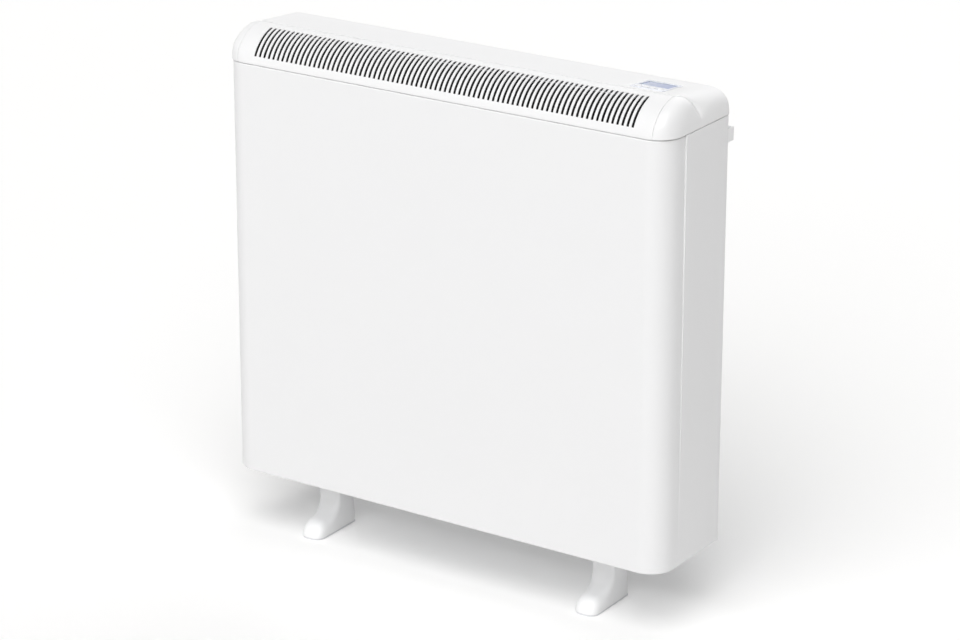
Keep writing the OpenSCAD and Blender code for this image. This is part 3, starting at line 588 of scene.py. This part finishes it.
def turn_at_depth(y):
    """For depths on the top arc."""
    return math.degrees(math.acos((nose_d - y) / nose_top_r))


seam_gap = 0.8
crease_gap = 0.35
slot_start_z, slot_end_y = 12.0, 43.0
slot_turns = (turn_at_height(slot_start_z), turn_at_depth(slot_end_y))
foot_steps, slot_steps, crest_steps = 3, 22, 5
nose_turns = [
    *np.linspace(turn_at_height(seam_gap), slot_turns[0], foot_steps + 1)[:-1],
    *np.linspace(*slot_turns, slot_steps + 1),
    *np.linspace(slot_turns[1], turn_at_depth(nose_d - crease_gap), crest_steps + 1)[1:],
]
curve = np.array([nose_point(turn) for turn in nose_turns])
slot_rows = range(foot_steps, foot_steps + slot_steps)
print("the curve has", len(curve), "points; slots run from turn", np.round(slot_turns, 1))


# %% The plan of the case's corner, which the nose has to meet at the seam
def plan_front(x):
    """How far back the case's front outline lies at x."""
    past = max(0.0, abs(x) - corner_x)
    return corner_r - math.sqrt(max(0.0, corner_r**2 - past**2))


nose_foot_h = 22.0


def met_at_seam(x, y, z):
    """Moves the foot of the nose back where the case's corner already turns."""
    hold = 1 - ease(z, seam_gap, nose_foot_h)
    return x, y + plan_front(x) * hold * (nose_d - y) / nose_d, z


# %% One cell of the grille, and the tree that repeats it
slot_pitch, slot_w, slot_n = 7.5, 3.7, 80


def strip(xs, slot_columns=()):
    """The nose's curve over some columns of faces, of which some are open along the slot."""
    points = [met_at_seam(x, *yz) for x in xs for yz in curve]
    faces = []
    for i, face in enumerate(grid_faces(len(xs), len(curve))):
        column, row = divmod(i, len(curve) - 1)
        if not (column in slot_columns and row in slot_rows):
            faces.append(face)
    return points, faces


def repeat_tree(name):
    """Copies the incoming mesh along X: how many, how far apart, where the first one is."""
    tree = bpy.data.node_groups.new(name, "GeometryNodeTree")
    face = tree.interface
    face.new_socket("Geometry", in_out="INPUT", socket_type="NodeSocketGeometry")
    face.new_socket("Count", in_out="INPUT", socket_type="NodeSocketInt")
    face.new_socket("Pitch", in_out="INPUT", socket_type="NodeSocketFloat")
    face.new_socket("Start", in_out="INPUT", socket_type="NodeSocketFloat")
    face.new_socket("Finish", in_out="INPUT", socket_type="NodeSocketMaterial")
    face.new_socket("Geometry", in_out="OUTPUT", socket_type="NodeSocketGeometry")
    new, join = tree.nodes.new, tree.links.new
    given = new("NodeGroupInput")
    made = new("NodeGroupOutput")
    line = new("GeometryNodeMeshLine")
    step = new("ShaderNodeCombineXYZ")
    start = new("ShaderNodeCombineXYZ")
    copies = new("GeometryNodeInstanceOnPoints")
    real = new("GeometryNodeRealizeInstances")
    weld = new("GeometryNodeMergeByDistance")
    finish = new("GeometryNodeSetMaterial")
    join(given.outputs["Pitch"], step.inputs["X"])
    join(given.outputs["Start"], start.inputs["X"])
    join(given.outputs["Count"], line.inputs["Count"])
    join(start.outputs[0], line.inputs["Start Location"])
    join(step.outputs[0], line.inputs["Offset"])
    join(line.outputs[0], copies.inputs["Points"])
    join(given.outputs["Geometry"], copies.inputs["Instance"])
    join(copies.outputs[0], real.inputs[0])
    join(real.outputs[0], weld.inputs["Geometry"])
    weld.inputs["Distance"].default_value = WELD
    join(weld.outputs[0], finish.inputs["Geometry"])
    join(given.outputs["Finish"], finish.inputs["Material"])
    join(finish.outputs[0], made.inputs[0])
    return tree


def run_tree(made, tree, **inputs):
    """Runs a tree on an object and keeps the result as a plain mesh."""
    grow = made.modifiers.new("repeat", "NODES")
    grow.node_group = tree
    for socket in tree.interface.items_tree:
        if socket.name in inputs and socket.in_out == "INPUT":
            grow[socket.identifier] = inputs[socket.name]
    apply_modifiers(made)


half_bar = (slot_pitch - slot_w) / 2
cell_xs = [-slot_pitch / 2, -slot_pitch / 2 + half_bar, slot_pitch / 2 - half_bar, slot_pitch / 2]
one_slot = on_top(*strip(cell_xs, slot_columns=(1,)))
cell = link("grille_cell", welded("grille_cell", *one_slot, outwards=False))
first_x = -(slot_n - 1) * slot_pitch / 2
run_tree(
    cell,
    repeat_tree("set out along x"),
    Count=slot_n,
    Pitch=slot_pitch * MM,
    Start=first_x * MM,
    Finish=top_white,
)
print("grille cells", len(cell.data.polygons), "faces")


# %% Close the row with plain ends, then give it its wall
def joined(name, meshes):
    """One mesh from several, welded where they touch."""
    whole = bpy.data.meshes.new(name)
    with editing(whole) as shape:
        for mesh in meshes:
            shape.from_mesh(mesh)
        bmesh.ops.remove_doubles(shape, verts=shape.verts, dist=WELD * 2)
    return whole


def facing(mesh, away_from):
    """Turns an open surface so that it faces away from a point inside, given in metres."""
    with editing(mesh) as shape:
        bmesh.ops.recalc_face_normals(shape, faces=shape.faces)
        leans = (
            (face.calc_center_median() - away_from).dot(face.normal) * face.calc_area()
            for face in shape.faces
        )
        if sum(leans) < 0:
            bmesh.ops.reverse_faces(shape, faces=shape.faces)
    return mesh


dome_w = 25.0
joint_x = half_w - dome_w
joint_gap = 0.2
row_end = -first_x + slot_pitch / 2
end_xs = [
    *np.linspace(row_end, corner_x, 4)[:-1],
    *np.linspace(corner_x, joint_x - joint_gap, 6),
]
ends = [welded("end", *on_top(*strip([side * x for x in end_xs])), outwards=False) for side in (1, -1)]
nose = link("nose_grille", facing(joined("nose_grille", [cell.data, *ends]), inner(0, nose_d, 0)))
bpy.data.objects.remove(cell)
walled(nose, wall=1.4, rim=0.2)
settle(nose, top_white, stands_for=["air_outlet_grille"], slot="top_white", sharp=40)

# %% [markdown]
# ## The sloping cover and the domes
# The cover slopes down a little to the back and rolls over at both ends. The roll is deepest beside
# the domes and shallower at the back. The domes are like the end of an egg: each cross-section is
# the nose's curve, drawn in towards the side, and behind the nose's crease the dome falls on to the
# cover along a line that runs back and out. A shallow valley draws the side in along that line. The
# meeting of the two gives the curved crease that shows at the corner. Such a surface has no simple
# primitive, so its height is written as a few small functions of the place, and sampled on a grid.

# %% Surfaces of the top
cover_slope = math.radians(5.5)
cover_roll = 28.0
cover_power = 2.2
dome_power = 2.6
split_back = 26.0
split_power = 0.85


def plane_z(y):
    return nose_h - (y - nose_d) * math.tan(cover_slope)


def rolled(out, power):
    """Drop of a rolled edge, from 0 to 1, where out runs from 0 to 1 at the rim."""
    out = min(1.0, max(0.0, out))
    return 1 - (1 - out**power) ** (1 / power)


def split_y(x):
    """Where the dome ends and the cover starts."""
    out = max(0.0, (abs(x) - joint_x) / dome_w)
    return nose_d + split_back * out**split_power


rear_roll_h = 24.0
front_roll_h = 42.0
even_roll_y = 125.0


def cover_z(x, y):
    """The cover's height: the sloping plane, less the roll at its ends."""
    out = (abs(x) - (half_w - cover_roll)) / cover_roll
    deep = rear_roll_h + (front_roll_h - rear_roll_h) * (1 - ease(y, nose_d, even_roll_y))
    return max(plane_z(y) - deep * rolled(out, cover_power), seam_gap)


def dome_top(x):
    """The height of the dome's ridge."""
    out = (abs(x) - joint_x) / dome_w
    return nose_h - (nose_h - seam_gap) * rolled(out, dome_power)


# %% The gap between dome and cover, and the valley along it
# Heights over the seam between which each of these grows to its full size.
gap_heights = (17.0, 30.0)
lip_heights = (13.0, 25.0)
valley_heights = (9.0, 28.0)
gap_closed, gap_open = 0.02, 0.33
notch_w, notch_x, notch_reach = 0.5, 2.0, 5.0
wide_in, wide_reach = 3.4, 22.0
fine_in, fine_reach = 1.9, 3.2


def bump(distance, reach):
    """1 in the middle, falling softly to 0 over about twice the reach."""
    return math.exp(-((distance / reach) ** 2))


def parting(x, z):
    """Half of the gap between dome and cover: widest at the top, closed on the way to the seam."""
    notch = notch_w * bump(abs(x) - joint_x - notch_x, notch_reach)
    return gap_closed + (gap_open + notch) * ease(z, *gap_heights)


def edge_lip(z):
    """How far an edge along the gap turns down: not at all near the seam."""
    return lip * ease(z, *lip_heights)


def valley(x, y, z):
    """Draws the side in where dome and cover meet: a wide V above the seam with a finer one in it."""
    away = abs(y - split_y(x))
    wide = wide_in * (1 - min(1.0, away / wide_reach)) ** 2
    fine = fine_in * bump(away, fine_reach)
    inset = (wide + fine) * ease(abs(x), joint_x, half_w) * ease(z, *valley_heights)
    return x - math.copysign(inset, x), y, z


split = [(round(x, 1), round(split_y(x), 1)) for x in np.linspace(joint_x, half_w, 4)]
print("the dome ends and the cover starts along", split)


# %% The dome's foot, which has to follow the case's outline
def plan_reach(dx, dy):
    """Distance from the dome's middle to the case's outline, in plan, along a direction."""
    to_side = dome_w / dx
    centre = np.array([corner_x - joint_x, corner_r - nose_d])
    along = dx * centre[0] + dy * centre[1]
    to_corner = along + math.sqrt(max(0.0, along**2 - (centre @ centre - corner_r**2)))
    past_x = dx * to_corner >= centre[0] - 1e-6
    past_y = dy * to_corner <= centre[1] + 1e-6
    return to_corner if past_x and past_y else to_side


def cross_section(x):
    """The dome's size at x as a share of the nose, and the turn at which that curve leaves the seam."""
    share = (dome_top(x) + nose_drop) / rise
    z_full = (seam_gap + nose_drop) / share - nose_drop
    if z_full < nose_point(meet)[1]:
        return share, turn_at_height(z_full)
    return share, math.degrees(math.asin(min(1.0, (z_full - top_centre[1]) / nose_top_r)))


def seam_outline(steps=60):
    """Direction and reach of the bare dome at the seam, to compare with the case's outline."""
    rows = []
    for t in np.linspace(0, 1, steps):
        dx = dome_w * math.sin(t * math.pi / 2)
        share, turn = cross_section(joint_x + dx)
        dy = share * (nose_d - nose_point(turn)[0])
        rows.append((math.atan2(dy, dx), math.hypot(dy, dx)))
    return np.array(sorted(rows))


outline = seam_outline()
dome_foot_h = 24.0


def to_outline(x, y, z):
    """Pushes the dome's foot out to the case's outline, and leaves its top alone."""
    dx, dy = x - joint_x, y - nose_d
    reach = math.hypot(dx, dy)
    if dy > -0.001:
        return x, y, z
    bare = np.interp(math.atan2(-dy, dx), outline[:, 0], outline[:, 1])
    hold = 1 - ease(z, seam_gap, dome_foot_h)
    grow = 1 + (plan_reach(dx / reach, dy / reach) / bare - 1) * hold
    return joint_x + dx * grow, nose_d + dy * grow, z


print("bare dome reaches", np.round(outline[[0, -1], 1], 1), "at the side and the front")


# %% Domes
dome_fall = 2.3


def dome_column(x, front_rows=26, back_rows=14):
    """One cross-section of the dome, from the seam over the top and back to the split."""
    share, start = cross_section(x)
    points = []
    for turn in np.linspace(start, 90, front_rows + 1):
        y, z = nose_point(turn)
        points.append(to_outline(x, nose_d - share * (nose_d - y), share * (z + nose_drop) - nose_drop))
    end = max(split_y(x) - parting(x, cover_z(x, split_y(x))), nose_d + 0.05)
    landing = max(cover_z(x, end) - edge_lip(cover_z(x, end)), seam_gap)
    top = points[-1][2]
    for t in np.sin(np.linspace(0, math.pi / 2, back_rows + 1)[1:]):
        points.append((x, nose_d + (end - nose_d) * t, top + (landing - top) * t**dome_fall))
    return [valley(*point) for point in points]


def swept_out(start, width, steps):
    """Places from start to start + width that crowd together towards the end."""
    return [start + width * math.sin(t * math.pi / 2) for t in np.linspace(0, 1, steps + 1)]


def dome(side):
    columns = [dome_column(x) for x in swept_out(joint_x + joint_gap, dome_w - joint_gap, 26)]
    columns.append([(x, y, seam_gap) for x, y, _ in columns[-1]])
    points = [(side * x, y, z) for column in columns for x, y, z in column]
    return points, list(grid_faces(len(columns), len(columns[0])))


for side, name in ((1, "right"), (-1, "left")):
    shell = welded("dome_" + name, *on_top(*dome(side)), outwards=False)
    made = link("end_dome_" + name, facing(shell, inner(side * (joint_x - 20), nose_d, -10)))
    walled(made, wall=2.0, rim=0.3)
    settle(made, top_white, stands_for=["end_cap_" + name], slot="top_white", sharp=40)

# %% Rows and columns of the cover's grid, which has to meet the control panel's opening
panel_box = [np.array(c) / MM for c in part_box("display_bezel")]
panel_start = 9.0
panel_size = 50.0
panel_gap = 0.3
sliver_x = 6.0
opening_x = (panel_box[0][0] - panel_gap, panel_box[1][0] + panel_gap)
opening_run = (panel_start - panel_gap, panel_start + panel_size + panel_gap)
opening_y = [nose_d + run * math.cos(cover_slope) for run in opening_run]

roll_xs = swept_out(half_w - cover_roll, cover_roll, 24)
middle_xs = np.linspace(-roll_xs[0], roll_xs[0], 25)[1:-1]
middle_xs = [x for x in middle_xs if min(abs(x - edge) for edge in opening_x) > sliver_x]
cover_xs = sorted({*middle_xs, *opening_x, *roll_xs, *(-x for x in roll_xs), joint_x, -joint_x})

rear_r = 7.0
flat_end = body_d - rear_r
cover_start = nose_d + crease_gap
opening_shares = [(y - cover_start) / (flat_end - cover_start) for y in opening_y]
lip_shares = (0.006, 0.014, 0.025, 0.038)
sliver_share = 0.01


def clear_of_opening(share):
    """False for a row so close to an edge of the opening that its faces would be slivers."""
    return all(share == edge or abs(share - edge) > sliver_share for edge in opening_shares)


shares = sorted({*np.linspace(0, 1, 19), *lip_shares, *opening_shares})
shares = [share for share in shares if clear_of_opening(share)]
print("cover grid", len(cover_xs), "by", len(shares))


# %% Cover
middle_gap = 0.25
lip_reach = 0.9
rear_foot_z = seam_gap + 3


def cover_column(x):
    """One line of the cover, from the split back over the rear edge and down to the seam."""
    start = split_y(x) + parting(x, cover_z(x, split_y(x)))
    if abs(x) <= joint_x:
        start += middle_gap
    points = []
    for share in shares:
        y = start + (flat_end - start) * share
        z = cover_z(x, y)
        points.append((x, y, max(z - edge_lip(z) * bump(y - start, lip_reach), seam_gap)))
    edge = points[-1][2]
    for turn in np.radians(np.linspace(0, 90, 9))[1:]:
        run, drop = rear_r * math.sin(turn), rear_r * (1 - math.cos(turn))
        drop += run * math.tan(cover_slope) * math.cos(turn)
        points.append((x, flat_end + run, max(edge - drop, rear_foot_z)))
    points.append((x, body_d, seam_gap))
    return [valley(*point) for point in points]


def over_opening(corners):
    x, y, _ = np.mean(corners, axis=0)
    return opening_x[0] < x < opening_x[1] and opening_y[0] < y < opening_y[1]


def cover_shape():
    columns = [cover_column(x) for x in cover_xs]
    left_wall, right_wall = ([(x, y, seam_gap) for x, y, _ in columns[end]] for end in (0, -1))
    columns = [left_wall, *columns, right_wall]
    points = [point for column in columns for point in column]
    grid = grid_faces(len(columns), len(columns[0]))
    return points, [face for face in grid if not over_opening([points[i] for i in face])]


shell = welded("cover", *on_top(*cover_shape()), outwards=False)
cover = link("top_cover_skin", facing(shell, inner(0, 100, -60)))
walled(cover, wall=2.4, rim=0.3)
settle(cover, cover_white, stands_for=["top_cover"], slot="top_white", sharp=40)

# %% [markdown]
# ## The control panel
# A pale plate sits in the cover's opening. It has a window for the display, set a little below the
# plate, and a row of four round keys in front of it. A flat outline with holes is quickest as a 2-D
# curve, which Blender fills and rounds by itself; it becomes a mesh before it is put in its place.


# %% Flat plates with holes, set on the slope
def on_slope(points):
    """(x, distance behind the crease, height over the cover) to the case's frame."""
    p = np.array(points, float).reshape(-1, 3)
    c, s = math.cos(cover_slope), math.sin(cover_slope)
    back, up = p[:, 1] * c + p[:, 2] * s, p[:, 2] * c - p[:, 1] * s
    return np.stack([p[:, 0], nose_d + back, panel_h + nose_h + up], 1)


def rounded(cx, cy, w, d, r, steps=6):
    """Outline of a rectangle round a middle, its corners rounded by r."""
    outline = []
    for sx, sy, start in ((1, 1, 0), (-1, 1, 90), (-1, -1, 180), (1, -1, 270)):
        centre = (cx + sx * (w / 2 - r), cy + sy * (d / 2 - r))
        outline += [(x, y) for x, y, _, _ in arc(centre, r, start, start + 90, steps)]
    return outline


def plate(name, outlines, thick, edge):
    """A plate from outlines in millimetres; the first is its rim and the rest are holes."""
    line = bpy.data.curves.new(name, "CURVE")
    line.dimensions = "2D"
    line.fill_mode = "BOTH"
    line.extrude = (thick / 2 - edge) * MM
    line.bevel_depth = edge * MM
    line.bevel_resolution = 2
    line.offset = -edge * MM
    for outline in outlines:
        run = line.splines.new("POLY")
        run.points.add(len(outline) - 1)
        for spot, (x, y) in zip(run.points, outline):
            spot.co = (x * MM, y * MM, 0, 1)
        run.use_cyclic_u = True
    made = link(name, line)
    mesh = evaluated(made)
    bpy.data.objects.remove(made)
    with editing(mesh) as shape:
        bmesh.ops.remove_doubles(shape, verts=shape.verts, dist=WELD / 5)
        bmesh.ops.recalc_face_normals(shape, faces=shape.faces)
    return mesh


def set_on_slope(mesh, lift):
    """Moves a flat plate on to the cover, its middle lifted by so many millimetres."""
    flat = np.array([v.co for v in mesh.vertices]) / MM
    seated = placed(on_slope(flat + (0, 0, lift)))
    mesh.vertices.foreach_set("co", seated.ravel())
    mesh.update()
    return mesh


panel_x = (panel_box[0][0] + panel_box[1][0]) / 2
panel_t = 3.0
panel_proud = 0.6
window_w = 44.0
window_d = 29.0
window_mid = panel_start + panel_size - 3 - window_d / 2
key_row = panel_start + 8.5
key_d = 7.6
key_pitch = 11.0
keyhole_d = key_d + 0.8
key_xs = [panel_x + (i - 1.5) * key_pitch for i in range(4)]
rim = rounded(panel_x, panel_start + panel_size / 2, panel_size, panel_size, 2.5)
window = rounded(panel_x, window_mid, window_w, window_d, 1.2)
keyholes = [rounded(x, key_row, keyhole_d, keyhole_d, keyhole_d / 2 - 0.001, 10) for x in key_xs]
bezel_mesh = plate("panel_plate", [rim, window, *keyholes], thick=panel_t, edge=0.3)
bezel = link("panel_plate", set_on_slope(bezel_mesh, lift=panel_proud - panel_t / 2))
settle(bezel, bezel_white, stands_for=["display_bezel"], slot="bezel", sharp=50)

# %% [markdown]
# The display is a pale blue liquid crystal under a clear pane. Unlit, it is lavender towards the back
# and paler towards the front corner. A thin dark band along its rear edge is painted shadow, cast by
# the wall of the recess. The pattern reads Object coordinates, so it stays with the pane from every
# side.

# %% The display's pane
gloss = {"Specular IOR Level": 0.5, "IOR": 1.5, "Coat Roughness": 0.04, "Coat Weight": 0.2}
lcd = Finish("pale blue display", **gloss)
window_at = placed(on_slope([(panel_x, window_mid, 0)]))[0]
across = (lcd.along("X") - float(window_at[0])) * (1 / (window_w * MM))
back = (lcd.along("Y") - float(window_at[1])) * (1 / (window_d * MM))
paler = (back * -0.9 + across * -0.45 + lcd.noise(scale=60.0) * 0.16).above(0.56, 0.28)
lavender, pale_blue = (0.31, 0.37, 0.60), (0.50, 0.64, 0.71)
tint = lcd.mix(paler, lavender, pale_blue)
dots = lcd.noise(scale=1500.0, detail=1.0)
tint = lcd.mix(dots * 0.12, tint, (0.30, 0.36, 0.52))
# painted shadow: a dark band along the pane's rear edge, where the recess wall shades it
painted_recess_shadow = (back - across * 0.06).above(0.42, 0.03)
lcd.set(Base_Color=lcd.mix(painted_recess_shadow, tint, (0.16, 0.24, 0.24)))
lcd.set(Roughness=about(0.15, 0.06, dots))
lcd.relief(dots, depth=0.000004)

pane_t = 1.6
pane_recess = 0.7
pane_fit = 0.5
pane_rim = rounded(panel_x, window_mid, window_w - pane_fit, window_d - pane_fit, 1.0)
pane_mesh = plate("display_pane", [pane_rim], thick=pane_t, edge=0.15)
pane = link("display_pane", set_on_slope(pane_mesh, lift=panel_proud - pane_recess - pane_t / 2))
settle(pane, lcd.material, stands_for=["display_window"], slot="lcd_window", sharp=50)


# %% Keys
def turned(profile, steps=40):
    """A solid of revolution from (radius, height) pairs, on its own axis."""
    points = [
        (r * math.cos(a), r * math.sin(a), h)
        for r, h in profile
        for a in np.linspace(0, 2 * math.pi, steps, endpoint=False)
    ]
    faces = list(grid_faces(len(profile), steps, around=True))
    faces += [tuple(range(steps)), tuple(range(len(points) - steps, len(points)))]
    return np.array(points), faces


key_r = key_d / 2
key_edge = 0.5
crown = [(key_r - key_edge + r, key_edge + h) for r, h, _, _ in arc((0, 0), key_edge, 0, 90, 5)]
dished = [(key_r * 0.72, 0.88), (key_r * 0.4, 0.74), (key_r * 0.12, 0.7)]
points, faces = turned([(key_r, -5.0), *crown, *dished])
for i, x in enumerate(key_xs, 1):
    make_piece(
        f"key_{i}",
        on_slope(points + (x, key_row, 0)),
        faces,
        key_white,
        stands_for=[f"button_{i}"],
        slot="key_white",
        rides=f"button_{i}",
    )

# %% [markdown]
# ## The feet
# A foot is one moulding: a round toe, a sweep up to the post, and a back that leans in. Its side
# outline is easy to draw, and every edge of the real one is soft. So each point of the outline gets
# its own rounding across the width: generous round the toe, small up the post. The rings of that
# rounding are the same outline, drawn in by an arc's worth from ring to ring.


# %% The measures of a foot
foot_low, foot_high = (np.array(c) / MM - (0, front_y, 0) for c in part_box("foot_right"))
foot_w = foot_high[0] - foot_low[0]
foot_x = (foot_high[0] + foot_low[0]) / 2
toe_y, heel_y, foot_top = foot_low[1], foot_high[1], foot_high[2]
toe_h = 24.0
sweep_r = 26.0
post_y = heel_y - 40.0
pad_t = 3.0
heel_lean = 7.0
lean_z = 16.0
heel_r = 5.0
toe_soft = 13.0
post_soft = 4.5
sole_soft = 3.0
print("foot", np.round(foot_high - foot_low, 1), "its middle at", round(foot_x, 1))


# %% Side outline of a foot, and its soft edges
def side_line(turn):
    """The foot's outline at one turn of its rounded edge: rows of y, z and the distance out.

    At 0 the line is the full outline, at 90 degrees it is drawn in on to the foot's flat side. Each
    stretch of it says how much it is rounded at its start and at its end.
    """
    t = math.radians(turn)
    rows = []

    def add(points, soft, end_soft):
        for share, (y, z) in zip(np.linspace(0, 1, len(points)), points):
            r = soft + (end_soft - soft) * share
            rows.append((y, z, foot_w / 2 - r * (1 - math.sin(t))))

    def draw(r):
        return r * (1 - math.cos(t))

    toe_r, post_in = toe_h - draw(toe_soft), draw(post_soft)
    low = 180 - math.degrees(math.asin(pad_t / toe_r))
    toe = [(y, z) for y, z, _, _ in arc((toe_y + toe_h, 0), toe_r, low, 90, 16)]
    add(toe, toe_soft, toe_soft)
    sweep = []
    for share in np.linspace(0, 1, 17)[1:]:
        r = sweep_r + draw(toe_soft + (post_soft - toe_soft) * share)
        a = math.radians(90 * (share - 1))
        sweep.append((post_y - sweep_r + r * math.cos(a), toe_h + sweep_r + r * math.sin(a)))
    add(sweep, toe_soft, post_soft)
    post = [(post_y + post_in, z) for z in np.linspace(toe_h + sweep_r, foot_top, 6)[1:]]
    add(post, post_soft, post_soft)
    back = [(heel_y - heel_lean, foot_top), (heel_y, lean_z), (heel_y, pad_t + heel_r)]
    add([(y - post_in, z) for y, z in back], post_soft, post_soft)
    heel = [(y, z) for y, z, _, _ in arc((heel_y - heel_r, pad_t + heel_r), heel_r, 0, -90, 6)][1:]
    add([(y - post_in * (y - heel_y + heel_r) / heel_r, z) for y, z in heel], post_soft, sole_soft)
    line = np.array(rows)
    sole = [line[-1] + (line[0] - line[-1]) * share for share in np.linspace(0, 1, 8)[1:-1]]
    return np.vstack([line, sole])


# %% Rings of that outline, from one side to the other
def foot_shape(centre_x, rings=7):
    half = [side_line(turn) for turn in np.linspace(90, 0, rings)]
    order = [(line, -1) for line in half] + [(line, 1) for line in reversed(half)]
    points = [(centre_x + sign * out, y, z - foot_h) for line, sign in order for y, z, out in line]
    rows, columns = len(order), len(half[0])
    faces = list(grid_faces(rows, columns, around=True))
    faces += [tuple(range(columns)), tuple(range((rows - 1) * columns, rows * columns))]
    return points, faces


for side, name in ((1, "right"), (-1, "left")):
    make_piece(
        "foot_moulding_" + name,
        *foot_shape(side * foot_x),
        foot_white,
        stands_for=["foot_" + name],
        slot="foot_white",
        sharp=55,
    )

# %% [markdown]
# ## Room, light and camera
# The floor is plain and nearly white. One broad lamp stands in front and above, a little to the
# right, and draws the soft shadow under the case. A weaker one lights the top from behind. Together
# they give a level at which a colour renders about as it is written. The white room itself lights
# next to nothing: only the camera, gloss and clear panes see it white. To end as white as that room,
# the floor glows a little in the camera's view. The camera looks from the right, a little above,
# with a long lens.

# %% Floor
floor_reach = 30
floor_mesh = bpy.data.meshes.new("floor")
corners = [(floor_reach * x, floor_reach * y, 0) for x, y in ((-1, -1), (1, -1), (1, 1), (-1, 1))]
floor_mesh.from_pydata(corners, [], [(0, 1, 2, 3)])
floor = link("floor", floor_mesh)
floor_white = Finish("floor white", Roughness=0.9)
clouds = floor_white.noise(scale=1.5, detail=1.0)
floor_white.set(Base_Color=floor_white.mix(clouds, (0.972, 0.968, 0.962), (0.985, 0.980, 0.974)))
in_view = floor_white.node("ShaderNodeLightPath", {}, {}).outputs["Is Camera Ray"]
glow = floor_white.mix(in_view, (0, 0, 0), (0.05, 0.05, 0.05))
floor_white.set(Emission_Color=glow, Emission_Strength=1.0)
floor.data.materials.append(floor_white.material)
print("floor", 2 * floor_reach, "m across")

# %% The white room
world = bpy.context.scene.world or bpy.data.worlds.new("room")
bpy.context.scene.world = world
sky = NodeTree(world)
ray = sky.node("ShaderNodeLightPath", {}, {}).outputs
seen = Value(sky, ray["Is Camera Ray"]) + ray["Is Glossy Ray"] + ray["Is Transmission Ray"]
light = sky.node("ShaderNodeBackground", {}, {"Color": (0.97, 0.98, 1.0), "Strength": 0.05})
shown = sky.node("ShaderNodeBackground", {}, {"Color": (0.99, 0.985, 0.98), "Strength": 1.0})
both = sky.node("ShaderNodeMixShader", {}, (seen, light.outputs[0], shown.outputs[0]))
sky.node("ShaderNodeOutputWorld", {}, {"Surface": both.outputs[0]})
print("the world has", len(sky.tree.nodes), "nodes")


# %% Two lamps: wide, soft suns
def sun(name, azimuth, elevation, spread, power):
    """A lamp that shines from so many degrees to the right of the front, and so many up."""
    made = bpy.data.lights.new(name, "SUN")
    made.angle = math.radians(spread)
    made.energy = power
    a, e = math.radians(azimuth), math.radians(elevation)
    towards = Vector((math.sin(a) * math.cos(e), -math.cos(a) * math.cos(e), math.sin(e)))
    link(name, made).rotation_euler = towards.to_track_quat("Z", "Y").to_euler()
    print(name, "power", power)


sun("front_sun", azimuth=14, elevation=52, spread=62, power=2.84)
sun("rear_sun", azimuth=180, elevation=38, spread=60, power=0.97)

# %% Camera
camera_down = 20.311
camera_round = 33.455
camera = link("camera", bpy.data.cameras.new("camera"))
camera.data.lens = 126.74
camera.data.sensor_width = 36.0
camera.data.clip_end = 100
camera.location = (2.378, -3.586, 1.944)
camera.rotation_euler = (math.radians(90 - camera_down), 0, math.radians(camera_round))
bpy.context.scene.camera = camera
print("camera looks down by", camera_down, "degrees from", camera_round, "degrees to the right")
bpy.context.scene.view_settings.view_transform = "Standard"
